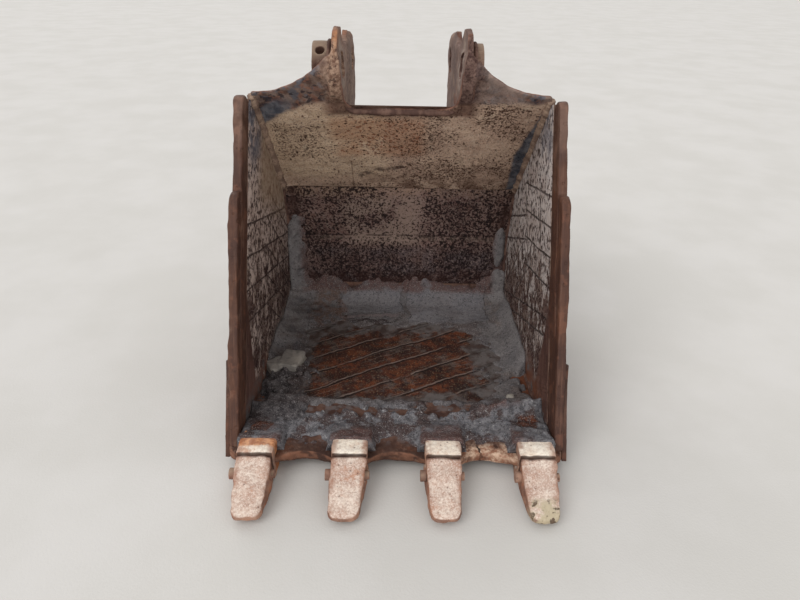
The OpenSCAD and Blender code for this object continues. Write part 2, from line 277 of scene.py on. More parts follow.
        # Scoured paler near the ground, and stained dark in broad clouds
        scoured = self.span(self.z, GROUND + 0.30, GROUND + 0.02) * self.patches(11, 0.36, 0.58, 8, 0.65)
        self.lay(scoured * 0.55, (142, 112, 96))
        self.stains((0.5, (70, 50, 45), 3.5, 0.48, 0.66, 9, 0.65))
        scuff = self.noise(1, 3, 0.6, at=self.vector(self.x * 8, self.y * 9, self.z * 120))
        scuff = self.span(scuff, 0.6, 0.68) * self.patches(4, 0.48, 0.58)
        self.bump(scuff, -0.001)
        self.lay(scuff * 0.6, (168, 138, 120))
        veil = self.span(self.nz, 0.1, 0.9) * self.patches(9, 0.36, 0.6, 6)
        dust = self.either(veil, self.patches(6, 0.50, 0.78, 8, 0.65) * 0.7)
        self.lay(dust * 0.7, (156, 136, 116))

    def keep(self, inner, low, high):
        """Keeps the colour so far where inner is 1, and weathers the rest."""
        inside = self.colour
        self.weathered(low, high)
        self.colour = self.mix(inner, self.colour, inside)

    def faces(self, out_y, out_z):
        """1 on the faces whose normal lies near (out_y, out_z) in the side view."""
        return self.span(self.ny * out_y + self.nz * out_z, 0.3, 0.7)

    def mouth(self):
        """Distance behind the mouth's front line, and distance up along it from its top."""
        y, z = self.y - MOUTH_TOP[0], self.z - MOUTH_TOP[1]
        return y * MOUTH_SIN - z * MOUTH_COS, y * MOUTH_COS + z * MOUTH_SIN

    def off_bare(self):
        """Distance out of the floor's bare patch, less than 0 in it."""
        return self.either(abs(self.x - BARE[0]) - BARE[2], abs(self.y - BARE[1]) - BARE[3])

    def bump(self, height, depth):
        """Adds relief: height from 0 to 1 stands for depth in metres."""
        under = {"Normal": self.relief} if self.relief else {}
        self.relief = self.node("Bump", {"Height": height, "Distance": depth, **under})

    def done(self):
        """Links the colour and the relief, and gives back the material."""
        self.put(self.shader, {"Base Color": self.colour, "Normal": self.relief})
        return self.material


# Paints, one for each kind of surface
def ear_tone(p):
    """The ears' colour: rust, lit on the left ear and painted dark brown as shade on the right one, with
    painted sunlight in orange on the left one's top.
    """
    # The left ear is painted lighter as light, and the right one darker as shade
    left = p.span(p.x, 0.01, -0.01)
    low = p.mix(left, (78, 57, 52), (100, 72, 60))
    high = p.mix(left, (120, 96, 87), (166, 138, 118))
    tone = p.tone(low, high, 60, 0.36, 0.62, 8, 0.7)
    # Painted sunlight: orange on the left ear's top
    top = left * p.span(p.z, 0.02, 0.10) * p.patches(16, 0.3, 0.5, 5)
    tone = p.mix(top * 0.7, tone, (192, 132, 88))
    return p.stained(tone, (0.7, (64, 46, 42), 70, 0.55, 0.6, 4))


def plate_dust(p, sway, low_edge):
    """Tan dust, rusty and speckled below the notch, left of the middle, and dark by the bend."""
    p.colour = p.tone((198, 170, 148), (174, 146, 127), 9, 0.3, 0.7, 6)
    olive = p.between(p.x, -0.42, -0.1, 0.1) * p.between(p.z, -0.4, -0.15, 0.06)
    p.lay(olive * 0.4, (200, 178, 146))
    p.stains((0.35, (136, 104, 84), 55, 0.5, 0.68, 5),
             (0.4, (196, 178, 156), 30, 0.55, 0.7, 6),
             (0.4, (222, 206, 188), 150, 0.52, 0.6, 4, 0.7),
             (0.5, (124, 96, 80), 130, 0.54, 0.62, 4, 0.7))
    zone = p.between(p.x, -0.20, 0.05, 0.06) * p.between(p.z, -0.30, -0.18, 0.04)
    p.lay(zone * p.patches(9, 0.3, 0.55, 6) * 0.45, (168, 118, 84))
    p.lay(zone * p.spots(75, 0.6, 0.42) * 0.7, (122, 70, 50))
    # The worn rim under the notch
    rim = p.span(p.z + sway * 0.3, -0.158, -0.140) * p.span(abs(p.x), 0.21, 0.26, 1, 0)
    p.lay(rim * 0.85, p.tone((80, 54, 46), (108, 78, 66), 26, 0.4, 0.6))
    p.lay(low_edge * 0.7, (104, 78, 64))
    smudge = p.stroke(p.x, p.z + sway * 0.8, (-0.16, -0.42), (0.03, -0.36), 0.013)
    p.lay(smudge * p.patches(34, 0.40, 0.56, 6) * 0.75, (64, 50, 48))
    for x in (-0.172, 0.258):
        seam = p.stroke(p.x + sway * 0.1, p.z, (x, -0.33), (x, -0.50), 0.0035) * p.patches(60, 0.44, 0.5)
        p.bump(seam, -0.0012)
        p.lay(seam * 0.45, DARK_RUST)


def plate_pits(p, low_edge):
    """Pits, thick in some clouds and thin in others, longest up the plate."""
    p.pitted(80, 0.26, (92, 64, 52), 0.26, 0.9, at=p.vector(p.x, p.y * 0.8, p.z * 0.8))
    clouds = p.either(p.patches(6, 0.38, 0.56, 5), low_edge * 0.9) * p.span(p.x, -0.15, 0.15, 0.40, 1.0)
    left_cloud = p.between(p.x, -0.40, -0.28, 0.06) * p.between(p.z, -0.32, -0.2, 0.04)
    by_bend = p.span(p.z, -0.40, -0.48) * p.span(p.x, -0.40, -0.20) * p.patches(12, 0.3, 0.5)
    clouds = p.either(clouds, left_cloud * 0.8, by_bend * 0.9)
    p.speckled(100, 0.565, PIT, clouds)
    p.speckled(150, 0.545, (78, 54, 46), clouds)
    p.speckled(220, 0.56, (104, 76, 62), p.either(clouds, 0.5), 0.7)


def wing_tone(p, sway, top_edge, in_right):
    """The wings: brown and grey, blue by their outer ends, and like the ears beside them."""
    tone = p.tone((96, 74, 66), (134, 114, 104), 20, 0.42, 0.6, 6)
    tone = p.stained(tone, (0.75, (96, 98, 106), 24, 0.5, 0.58, 6), (0.85, (52, 46, 50), 36, 0.53, 0.6, 6),
                     (0.6, (142, 98, 80), 50, 0.54, 0.64, 5))
    crescent = p.either(p.between(p.z - top_edge, 0.012, 0.05, 0.02), 1.0 - in_right)
    crescent = crescent * p.span(abs(p.x), 0.30, 0.38) * p.span(p.z, -0.08, -0.11)
    tone = p.mix(crescent * 0.85, tone, p.tone((72, 75, 84), (112, 114, 120), 30, 0.4, 0.6, 5))
    dusty = p.between(p.x, 0.24, 0.37, 0.03) * p.patches(14, 0.34, 0.54, 8, 0.65)
    tone = p.mix(dusty * 0.6, tone, (160, 140, 130))
    near_ear = p.span(abs(p.x) + sway, 0.26, 0.212) * p.patches(12, 0.2, 0.5, 6)
    tone = p.mix(near_ear * 0.85, tone, ear_tone(p))
    return p.mix(p.span(abs(p.x), EAR_OUT + 0.004, EAR_OUT - 0.008), tone, ear_tone(p))


def upper_paint():
    """The upper plate and its wings. A curve bounds the tan dust above and at the right."""
    p = Paint("upper_dust", 0.9, 0.15)
    sway = p.wave(8, 5, 0.6, 0.05)
    left_of = p.either(p.x * -1 - 0.20, 0.0)
    top_edge = -0.098 - left_of * left_of * 1.66
    low_rise = p.either(p.z + 0.33, 0.0)
    right_edge = 0.405 + low_rise * low_rise * 0.9
    in_top = p.span(top_edge - p.z - sway, -0.006, 0.012)
    in_right = p.span(right_edge + sway * 0.7 - p.x, -0.004, 0.012)
    low_edge = p.span(p.z, -0.34, -0.49) * p.span(p.x, -0.38, 0.0) * p.patches(20, 0.42, 0.58, 6)
    plate_dust(p, sway, low_edge)
    plate_pits(p, low_edge)
    p.colour = p.mix(in_top * in_right, wing_tone(p, sway, top_edge, in_right), p.colour)
    p.bump(p.noise(120, 5, 0.7), 0.0014)
    p.bump(p.noise(18, 4), 0.004)
    # The edge that faces up behind the wings is a brighter red brown
    inner = p.either(p.faces(-PLATE_OUT[0], -PLATE_OUT[1]), p.faces(-1.0, 0.0))
    edge = p.tone((104, 70, 58), (138, 100, 84), 24, 0.4, 0.6, 5)
    inside = p.colour
    p.weathered(BROWN, RED_BROWN)
    p.colour = p.mix(inner, p.mix(p.span(p.ny, 0.0, 0.4), edge, p.colour), inside)
    return p.done()


def back_paint():
    """The inner back: dark rust, thick with black specks, and a pale dusty patch."""
    p = Paint("back_rust", 0.85, 0.2)
    p.colour = p.tone((98, 75, 70), (132, 107, 99), 7, 0.38, 0.62, 6)
    p.stains((0.45, (122, 106, 98), 60, 0.45, 0.6, 5),
             (0.5, (82, 54, 46), 14, 0.52, 0.62, 5))
    middle = p.between(p.x, -0.17, 0.04, 0.09) * p.between(p.z, -0.72, -0.54, 0.05)
    middle = middle * p.patches(12, 0.36, 0.54, 6)
    p.lay(middle * 0.75, (142, 122, 110))
    # Darker towards the bottom
    p.lay(p.span(p.z, -0.72, -0.78) * 0.55, (58, 42, 42))
    p.lay(p.span(p.z, -0.74, -0.78) * p.patches(9, 0.4, 0.6, 5) * 0.6, (86, 78, 80))
    high = p.span(p.z + p.wave(16, 7, 0.65, 0.12), -0.54, -0.49) * p.span(p.x, 0.25, 0.0, 0.4, 1.0)
    p.lay(high * 0.8, (150, 124, 106))
    thick = p.span(p.noise(5, 4, 0.6), 0.66, 0.44, 0.35, 1.0)
    thick = thick * p.math("MULTIPLY_ADD", middle, -0.35, 1.0)
    p.stains((0.5, (150, 128, 120), 120, 0.52, 0.6, 4, 0.7))
    p.speckled(112, 0.5, (38, 25, 25), thick)
    p.speckled(70, 0.55, (30, 21, 21), thick)
    p.speckled(190, 0.55, (44, 30, 28), thick, 0.7)
    # The knee shows as a thin dark line, a seam with painted shade in the bend, and a dusty edge above it
    knee = p.between(p.z, KNEE[1] - 0.004, KNEE[1] + 0.001, 0.003)
    p.lay(knee * p.patches(14, 0.42, 0.54) * 0.6, SHADE_BLACK)
    ledge = p.between(p.z, KNEE[1] - 0.022, KNEE[1] - 0.008, 0.006) * p.patches(18, 0.42, 0.56)
    p.lay(ledge * 0.25, (130, 114, 102))
    # Darker at the sides and by the heel
    p.lay(p.span(abs(p.x), 0.36, 0.42) * p.patches(18, 0.38, 0.55, 5) * 0.7, (64, 42, 36))
    p.lay(p.span(p.z, -0.84, -0.89) * p.patches(24, 0.36, 0.54, 5) * 0.8, (52, 30, 26))
    p.bump(p.noise(110, 5, 0.7), 0.0014)
    inner = p.either(p.faces(-1.0, 0.07), p.faces(-0.7, 0.7))
    p.keep(inner, BROWN, RED_BROWN)
    return p.done()


def floor_paint():
    """Rust on the floor, with long gouges that run from the front left to the rear right."""
    p = Paint("floor_rust", 0.8, 0.25)
    p.colour = p.tone((68, 38, 29), (104, 57, 37), 10, 0.38, 0.62, 6)
    p.stains((0.7, (48, 30, 27), 42, 0.46, 0.6, 6),
             (0.75, (92, 82, 77), 13, 0.5, 0.62, 8, 0.65),
             (0.75, (38, 25, 23), 8, 0.5, 0.6, 8, 0.65),
             (0.5, (118, 66, 38), 17, 0.56, 0.66, 8),
             (0.7, (34, 23, 22), 130, 0.56, 0.62, 4),
             (0.45, (150, 130, 104), 160, 0.58, 0.64, 3))
    creep = p.span(p.off_bare() + p.wave(11, 7, 0.65, 0.34), -0.075, -0.035)
    slope = math.radians(29)
    sway = p.wave(5, 5, 0.65, 0.05)
    across = p.y * math.cos(slope) + p.x * -math.sin(slope) + sway
    first, spacing = 0.051, 0.084
    keep = p.patches(7, 0.34, 0.46)
    # The dark line beside each gouge's pale ridge is painted shadow
    shade = p.lines(across + 0.006, spacing, 0.006, first) * keep
    ridge = p.lines(across, spacing, 0.005, first) * keep
    thin = p.lines(across + p.x * 0.04, 0.023, 0.0016) * p.patches(7, 0.52, 0.58)
    p.bump(ridge, 0.004)
    p.bump(shade, -0.003)
    p.lay(shade * 0.85, SHADE_BLACK)
    p.lay(p.either(ridge, thin * 0.6) * 0.75, (144, 124, 114))
    dust = p.tone((74, 62, 58), (106, 100, 98), 24, 0.36, 0.6, 7)
    foot = p.span(abs(p.x), 0.38, 0.4) * p.between(p.y + sway, *BARE_FOOT, 0.05)
    p.lay(creep * (1.0 - foot) * 0.9, dust)
    p.lay(foot * 0.7, (116, 68, 46))
    heel = p.span(p.z, FLOOR_IN + 0.02, FLOOR_IN + 0.07)
    p.lay(heel * 0.9, p.tone((56, 38, 34), (92, 66, 58), 24, 0.4, 0.6, 6))
    p.speckled(84, 0.52, (36, 24, 23), heel, 0.8)
    p.bump(creep, 0.002)
    p.bump(p.noise(120, 5, 0.7), 0.002)
    p.bump(p.noise(25, 5, 0.6), 0.004)
    p.keep(p.span(p.nz, 0.1, 0.4), BROWN, WORN)
    return p.done()


def wall_gouges(p, right, deep, bent, sway):
    """Where a side plate's long gouges are."""
    def family(slope, start, spacing, count, deep_from, deep_to, width=0.0045):
        """Gouges side by side: across is their distance up the mouth from start downwards."""
        across = bent - deep * slope
        low = start - (count - 0.5) * spacing
        kept = (p.between(across, low, start + 0.3 * spacing, 0.01)
                * p.between(deep + sway + sway, deep_from, deep_to, 0.03))
        return p.lines(across, spacing, width, start) * kept * p.patches(9, 0.30, 0.40)

    def cut(a, b, width):
        return p.stroke(deep, bent, a, b, width)

    if right:
        return p.either(family(0.25, -0.288, 0.093, 4, 0.03, 0.38), family(0.07, -0.33, 0.085, 2, 0.38, 0.9),
                        family(0.09, -0.650, 0.06, 2, 0.12, 0.75), family(-0.52, -0.18, 0.12, 2, 0.42, 0.75),
                        cut((0.40, -0.19), (0.34, -0.50), 0.004), cut((0.206, -0.20), (0.168, -0.50), 0.003),
                        cut((0.058, -0.20), (0.02, -0.40), 0.003))
    return p.either(family(0.18, -0.382, 0.1, 4, 0.05, 0.68), family(-0.32, -0.13, 0.098, 5, 0.33, 0.75),
                    family(-0.43, -0.62, 0.08, 2, 0.28, 0.50, 0.003),
                    cut((0.42, -0.16), (0.30, -0.62), 0.004), cut((0.24, -0.20), (0.20, -0.52), 0.0035))


def side_paint(name, side):
    """A side plate: gouged and streaked inside, and worn smooth along the mouth."""
    p = Paint(name, 0.8, 0.25)
    right = side > 0
    sway = p.wave(6, 4, 0.6, 0.018)
    deep, up = p.mouth()
    bent = up + sway
    light = (196, 185, 180) if right else (194, 174, 164)
    dark = (70, 46, 42) if right else (72, 49, 44)

    def drawn(across, along, tilt, low, high, detail=3):
        """Fine marks: noise drawn out along the plate's side, turned by tilt degrees."""
        c, s = math.cos(math.radians(tilt)), math.sin(math.radians(tilt))
        u = deep * (c * across) + up * (s * across)
        v = up * (c * along) - deep * (s * along)
        return p.span(p.noise(1, detail, 0.6, at=p.vector(u, v, side * 3.0)), low, high)

    # Bare and pale above, dark below and towards the back
    fall = p.span(up, -0.26, -0.62, -0.12, 0.08 if right else 0.055) + p.span(deep, 0.25, 0.8, -0.02, 0.05)
    streaks = p.noise(1, 8, 0.7, at=p.vector(deep * 24, up * 12))
    bare = p.span(streaks - fall, 0.45, 0.50)
    p.colour = p.mix(bare, dark, light)
    p.stains((0.35, (132, 106, 94), 9, 0.45, 0.6, 6), (0.35, (178, 158, 142), 60, 0.5, 0.64, 5))
    p.bump(bare, 0.0010)
    for tilt in (0, 22, -30):
        scratches = drawn(95, 12, tilt, 0.57, 0.63) * p.patches(6 + tilt / 20, 0.44, 0.54)
        p.bump(scratches, 0.0008)
        p.lay(scratches * 0.5, (164, 146, 137))
    level = 0.545 if right else 0.52
    dashes = p.either(drawn(72, 52, 5, level, level + 0.04, 2), drawn(50, 26, -4, 0.57, 0.61, 3))
    dashes = dashes * p.patches(7, level - 0.27, level - 0.11)
    p.bump(dashes, -0.0025)
    p.lay(dashes * 0.9, (54, 34, 30))
    # Lower down, light scratches that cross
    low_part = p.span(up, -0.28, -0.5)
    for tilt in (-68, 66, 84):
        cuts = drawn(150, 9, tilt, 0.60, 0.63, 3) * low_part
        p.bump(cuts, 0.001)
        p.lay(cuts * 0.65, (152, 132, 124))
    gouges = wall_gouges(p, right, deep, bent, sway)
    p.bump(gouges, -0.004)
    p.lay(gouges * 0.9, (52, 34, 30))
    p.lay(gouges * p.span(p.noise(70, 2), 0.5, 0.6) * 0.25, light)

    # Dust by the left end of the upper plate, and the blue and grey of the top corner
    if not right:
        dusty = p.span(deep + sway, 0.15, 0.27) * p.span(bent, -0.34, -0.22)
        p.lay(dusty * 0.85, p.tone(TAN, (140, 112, 92), 50, 0.5, 0.62))
    corner = p.span(bent, -0.24, -0.10) * p.span(deep, 0.26, 0.16) * p.patches(13, 0.40, 0.52, 6)
    p.lay(corner * (0.55 if right else 0.8), (102, 104, 114))
    p.lay(p.span(bent, -0.16, -0.02) * p.patches(40, 0.5, 0.58, 5) * 0.6, (64, 50, 50))
    # Worn brown along the mouth, wider towards the lip
    width = p.span(up, -0.46, -1.04, -0.012, 0.20 if right else 0.17) + p.wave(9, 5, 0.6, 0.05)
    brown = p.tone((84, 56, 48), (108, 76, 66), 5, 0.4, 0.6, 5)
    brown = p.mix(drawn(90, 4, 0, 0.46, 0.60) * 0.5, brown, (68, 46, 41))
    brown = p.mix(drawn(120, 5, 2, 0.58, 0.64) * 0.35, brown, (140, 112, 100))
    p.lay(p.span(width + BAR_D - deep, 0.0, 0.02), brown)
    # Rust glows by the floor behind the lip
    foot = p.span(p.z + sway, FLOOR_IN + 0.10, FLOOR_IN + 0.04) * p.patches(16, 0.42, 0.54)
    p.lay(foot * 0.9, DIRT)
    glow = p.between(p.y + sway, *BARE_FOOT, 0.04) * p.span(p.z, FLOOR_IN + 0.12, FLOOR_IN + 0.03)
    p.lay(glow * p.patches(26, 0.34, 0.54, 8, 0.7) * (0.85 if right else 0.6), (124, 70, 42))
    p.bump(p.noise(140, 5, 0.7), 0.0012)
    p.keep(p.span(p.nx * -side, 0.3, 0.6), BROWN, RED_BROWN)
    return p.done()


def bar_paint(name):
    """Bars and cutters: reddish brown, worn smooth, with fine streaks along the mouth."""
    p = Paint(name, 0.6, 0.3)
    deep, up = p.mouth()
    p.colour = p.tone((66, 41, 32), (88, 57, 43), 7, 0.38, 0.62, 6)
    streak = p.noise(1, 5, 0.65, at=p.vector(deep * 130, up * 7, p.x * 130))
    p.lay(p.span(streak, 0.46, 0.62) * 0.5, (66, 44, 38))
    p.lay(p.span(streak, 0.5, 0.3) * 0.35, (120, 88, 72))
    p.stains((0.35, (126, 82, 62), 26, 0.54, 0.64, 6),
             (0.4, (130, 102, 86), 11, 0.56, 0.72, 8))
    # The top ends are painted pale, as sunlight on them
    p.lay(p.span(up, -0.26, -0.06) * p.patches(13, 0.4, 0.6, 5) * 0.4, (140, 112, 98))
    p.put(p.shader, {"Roughness": p.math("MULTIPLY_ADD", streak, 0.3, 0.45)})
    p.bump(streak, 0.0014)
    p.bump(p.noise(60, 5, 0.65), 0.003)
    p.bump(p.spots(70, 0.18, 0.36), -0.002)
    return p.done()


def lip_paint():
    """The lip: rust, painted pale pink in the right gap as sunlight on it, cracked there, painted dark as
    shade left of that gap, and brown on top.
    """
    p = Paint("lip_rust", 0.8, 0.3)
    p.colour = p.tone((78, 52, 42), (116, 78, 60), 15, 0.4, 0.6, 6)
    p.stains((0.5, (132, 80, 54), 50, 0.5, 0.62, 5),
             (0.45, (156, 126, 108), 80, 0.5, 0.6, 6))
    # The right gap is painted pale pink, as sunlight on its rust
    sunlit_right_gap = p.between(p.x, 0.19, 0.35, 0.02) * p.patches(30, 0.35, 0.55, 5)
    pink = p.tone((158, 112, 88), (226, 196, 170), 55, 0.4, 0.6, 7, 0.7)
    p.lay(sunlit_right_gap * 0.85, pink)
    # A crack in the right gap: sunk, and painted near black as the shade in it
    crack = p.stroke(p.x + p.wave(40, 3, 0.55, 0.03), p.y, (0.235, LIP_Y + 0.075),
                     (0.255, LIP_Y + 0.02), 0.0035)
    p.bump(crack, -0.006)
    p.lay(crack * 0.9, SHADE_BLACK)
    # Left of the right gap the lip is painted dark as shade, less so at the far left
    dark = p.span(p.x, 0.17, 0.14) * p.span(p.x, -0.36, -0.28, 0.4, 1) * p.patches(22, 0.25, 0.5, 5)
    p.lay(dark * 0.85, (58, 39, 33))
    # The front edge is scoured brighter
    rim = p.span(p.ny, -0.3, -0.8) * p.span(p.nz, -0.3, 0.1) * p.patches(26, 0.34, 0.56, 6)
    p.lay(rim * 0.55, (156, 108, 84))
    top = p.span(p.nz, 0.5, 0.8) * p.span(p.y, LIP_Y + 0.05, LIP_Y + 0.09)
    brown = p.tone((72, 49, 42), (102, 74, 62), 24, 0.4, 0.6, 6)
    brown = p.stained(brown, (0.6, (110, 104, 104), 30, 0.5, 0.6, 6))
    p.lay(top, brown)
    p.bump(p.noise(90, 6, 0.7), 0.004)
    p.bump(p.noise(22, 4, 0.6), 0.006)
    under, above = p.span(p.nz, -0.4, -0.7), p.colour
    p.weathered(BROWN, WORN)
    p.colour = p.mix(under, above, p.colour)
    return p.done()


def cast_paint(name, pale, base):
    """Teeth and adapters: rusty castings under pale dust and painted sunlight, bare along their edges."""
    p = Paint(name, 0.9, 0.2)
    soiled = 0.5 if name.startswith("tooth") else 0.28
    p.colour = p.tone(base, pale, 14, 0.36, 0.6, 8, 0.7)
    p.stains((soiled, (192, 152, 132), 36, 0.5, 0.64, 8, 0.7),
             (soiled, (166, 132, 116), 130, 0.46, 0.58, 5, 0.7),
             (0.45, (244, 232, 220), 230, 0.5, 0.6, 3),
             (0.6, (184, 124, 92), 16, 0.56, 0.66, 8, 0.7))
    p.pitted(150, 0.05, (120, 84, 68), 0.36, 0.6)
    # Browner along both edges of each casting, in ragged patches
    rims = 1.0
    for x in TOOTH_X:
        rims = p.math("MINIMUM", rims, p.span(abs(p.x - x), 0.026, 0.046))
    p.lay(rims * p.patches(24, 0.36, 0.58, 7, 0.65) * 0.7, (150, 102, 80))
    # The sides and undersides are rustier, and painted darker as shade
    side = p.tone((120, 82, 66), (160, 118, 96), 20, 0.4, 0.6, 6)
    side = p.stained(side, (0.6, (172, 104, 70), 34, 0.54, 0.64, 5))
    p.lay(p.span(p.nz, 0.62, 0.15) * 0.85, side)
    if name.startswith("adapter"):
        # The left one is orange, and the shoulders that face the teeth are painted dark as shadow
        ragged = p.y + p.wave(40, 7, 0.7, 0.04)
        first = p.span(p.x, -0.33, -0.35) * p.span(ragged, LIP_Y - 0.004, LIP_Y + 0.012)
        p.lay(first * 0.85, p.tone((166, 98, 58), (214, 150, 104), 50, 0.4, 0.6, 6))
        p.lay(p.span(p.ny, -0.5, -0.8) * 0.85, (60, 40, 33))
    else:
        # Painted shadow at the rear by the adapters, with a cake of mud on the right tooth's tip
        rear = p.span(p.y, LIP_Y - 0.034, LIP_Y - 0.028) * p.patches(60, 0.2, 0.4)
        p.lay(rear * 0.75, (92, 62, 50))
        tip = LIP_Y - 0.165
        mud = p.span(p.y, tip + 0.045, tip + 0.02) * p.span(p.x, 0.35, 0.37) * p.patches(30, 0.36, 0.5, 4)
        p.lay(mud * 0.9, (190, 176, 148))
        chip = mud * p.patches(60, 0.54, 0.6)
        p.bump(chip, -0.004)
        p.lay(chip * 0.8, DARK_RUST)
    p.bump(p.noise(160, 5, 0.75), 0.0025)
    p.bump(p.noise(30, 4), 0.004)
    return p.done()


def ear_paint():
    """The ears: rust and pits under their tone, and bright round the arm pin's bore."""
    p = Paint("ear_rust", 0.75, 0.3)
    p.rust((88, 64, 55), (124, 96, 83))
    p.lay(0.4, ear_tone(p))
    p.pitted(90, 0.22, DARK_RUST, 0.34, 0.6)
    p.stains((0.4, (150, 126, 108), 12, 0.54, 0.66, 6))
    arm = p.math("SQRT", p.y * p.y + p.z * p.z)
    wear = p.span(arm, PIN_R + 0.045, PIN_R + 0.02) * p.patches(30, 0.36, 0.56)
    p.lay(wear * 0.6, (150, 134, 122))
    return p.done()


def plain_paint(name, low, high):
    """Rust from low to high with pits, under weather."""
    p = Paint(name, 0.8, 0.25)
    p.rust(low, high)
    p.pitted(95, 0.2, DARK_RUST, 0.34, 0.6)
    p.weather()
    return p.done()


def weld_paint(name, low, high):
    """Weld beads, from low to high in small patches."""
    p = Paint(name, 0.75, 0.25)
    p.colour = p.tone(low, high, 30, 0.4, 0.6, 5)
    p.stains((0.5, (74, 50, 43), 120, 0.5, 0.62, 4))
    p.bump(p.noise(200, 5, 0.7), 0.001)
    return p.done()


def dirt_paint():
    """Dried mud: smooth and grey at the back, clotted and dark at the left, blue on the lip."""
    p = Paint("dried_mud", 0.95, 0.1)
    sway = p.wave(7, 5, 0.6, 0.12)
    p.colour = p.tone((94, 91, 93), (116, 111, 110), 9, 0.36, 0.64, 7)
    p.stains((0.5, (100, 84, 76), 11, 0.52, 0.68, 7))
    corners = p.span(abs(p.x), 0.33, 0.4) * p.span(p.z, FLOOR_IN + 0.02, FLOOR_IN + 0.06)
    p.lay(corners * 0.6, (128, 123, 122))
    # Two pale slabs of it at the back, a hollow along their front painted dark as shade, and rust at their
    # left
    nudge = p.wave(14, 6, 0.6, 0.08)
    u, v = p.x + nudge, p.y + nudge
    slabs = p.either(p.between(u, -0.24, 0.02, 0.006) * p.between(v, 0.2, 0.4, 0.006),
                     p.between(u, 0.05, 0.36, 0.006) * p.between(v, 0.13, 0.33, 0.006))
    p.bump(slabs, 0.004)
    p.lay(slabs * 0.5, (128, 126, 130))
    tint = p.between(u, -0.33, -0.22, 0.03) * p.between(v, 0.12, 0.3, 0.03) * p.patches(30, 0.4, 0.56)
    p.lay(tint * 0.6, (110, 82, 68))
    hollow = p.either(p.stroke(u, v, (-0.2, 0.125), (0.02, 0.15), 0.011),
                      p.stroke(u, v, (-0.34, 0.085), (-0.2, 0.12), 0.005))
    p.lay(p.stroke(u, v, (-0.24, 0.165), (0.01, 0.178), 0.012) * 0.5, (140, 122, 120))
    p.lay(hollow * p.patches(40, 0.36, 0.52) * 0.85, (40, 32, 35))
    p.bump(hollow, -0.004)
    blue = p.tone((94, 93, 97), (127, 125, 128), 42, 0.38, 0.62, 8, 0.7)
    blue = p.stained(blue, (0.85, (72, 54, 50), 13, 0.5, 0.57, 8), (0.6, (56, 50, 53), 90, 0.54, 0.62, 4),
                     (0.7, (184, 182, 180), 130, 0.64, 0.7, 2))
    p.lay(p.span(p.y + sway, -0.36, -0.44), blue)
    # Rust shows through beside the outer collars
    for a, b in (((0.365, -0.487), (0.44, -0.505)), ((-0.44, -0.528), (-0.365, -0.548))):
        bare = p.span(p.stroke(p.x, p.y, a, b, 0.045) + p.wave(30, 6, 0.65, 1.6), 0.3, 0.6)
        p.bump(bare, -0.003)
        p.lay(bare * 0.9, p.tone((58, 36, 30), (100, 58, 40), 60, 0.4, 0.6))
    # Red where it thins out up the heel, and dark in the clots at the left
    red = p.span(p.z + sway * 0.2, FLOOR_IN + 0.045, FLOOR_IN + 0.062) * p.span(abs(p.x), 0.41, 0.38)
    p.lay(red * p.patches(13, 0.28, 0.5) * 0.85, (96, 71, 66))
    left = p.span(p.x + sway, -0.24, -0.32) * p.between(p.y + sway, -0.47, -0.17, 0.05)
    p.lay(left * 0.8, p.tone((46, 40, 41), (86, 80, 80), 45, 0.42, 0.58, 6))
    # Soaked by rust round the bare patch
    near = p.span(p.off_bare() + sway * 0.5, 0.045, -0.01)
    p.lay(near * p.patches(22, 0.34, 0.56, 6) * 0.5, (72, 55, 50))
    p.stains((0.4, (78, 74, 75), 70, 0.5, 0.62, 6),
             (0.5, (152, 147, 145), 240, 0.54, 0.64, 3),
             (0.7, (48, 43, 45), 150, 0.6, 0.65, 3))
    p.bump(p.noise(260, 5, 0.75), 0.0015)
    p.bump(p.noise(60, 6, 0.7), 0.004)
    return p.done()


def stone_paint():
    """Pale grey stone with darker spots."""
    p = Paint("stone", 0.9, 0.2)
    p.colour = p.tone((132, 126, 120), (156, 149, 140), 14, 0.4, 0.6, 6)
    p.stains((0.5, (108, 102, 98), 60, 0.5, 0.62, 6))
    p.bump(p.noise(60, 6, 0.7), 0.003)
    p.bump(p.noise(260, 4, 0.7), 0.001)
    return p.done()


BAR_PAINT = bar_paint("bar_rust")
PAINTS = {
    "floor_steel": floor_paint(), "back_steel": back_paint(), "upper_steel": upper_paint(),
    "box_steel": plain_paint("box_rust", BROWN, RED_BROWN),
    "bar_steel": BAR_PAINT, "cutter_steel": BAR_PAINT, "lip_steel": lip_paint(),
    # The castings' pale tones are dust, with painted sunlight on the teeth and the collars
    "adapter_cast": cast_paint("adapter_dust_and_sunlight", (252, 242, 226), (240, 222, 202)),
    "tooth_cast": cast_paint("tooth_dust_and_sunlight", (224, 205, 190), (190, 158, 142)),
    "pin_steel": plain_paint("pin_rust", (140, 100, 84), (176, 138, 118)),
    "ear_steel": ear_paint(), "boss_steel": plain_paint("boss_rust", BROWN, RED_BROWN),
    "strip_steel": plain_paint("strip_rust", BROWN, WORN),
}
SIDE_PAINTS = {f"side_plate_{name}": side_paint(f"side_{name}_rust", side) for side, name in SIDES}
WELD_PAINT = weld_paint("weld_rust", (76, 54, 47), (110, 84, 73))
DUSTY_WELD = weld_paint("weld_dust", (118, 96, 84), (156, 132, 114))
DIRT_PAINT = dirt_paint()
STONE_PAINT = stone_paint()
SLOTS = {row["node"]: row["material_slot"] for row in frame["record"]["subparts"]}


# Shapes
def cloud(points, size, seed, waves=30):
    """A smooth field over points, about -1 to 1, with lumps about size across."""
    draw = np.random.default_rng(seed)
    way = draw.normal(size=(waves, 3))
    way *= (2 * np.pi / size * draw.uniform(0.5, 1.5, waves) / np.linalg.norm(way, axis=1))[:, None]
    phase = draw.uniform(0, 2 * np.pi, waves)
    return np.sin(points @ way.T + phase).sum(axis=1) / math.sqrt(waves)


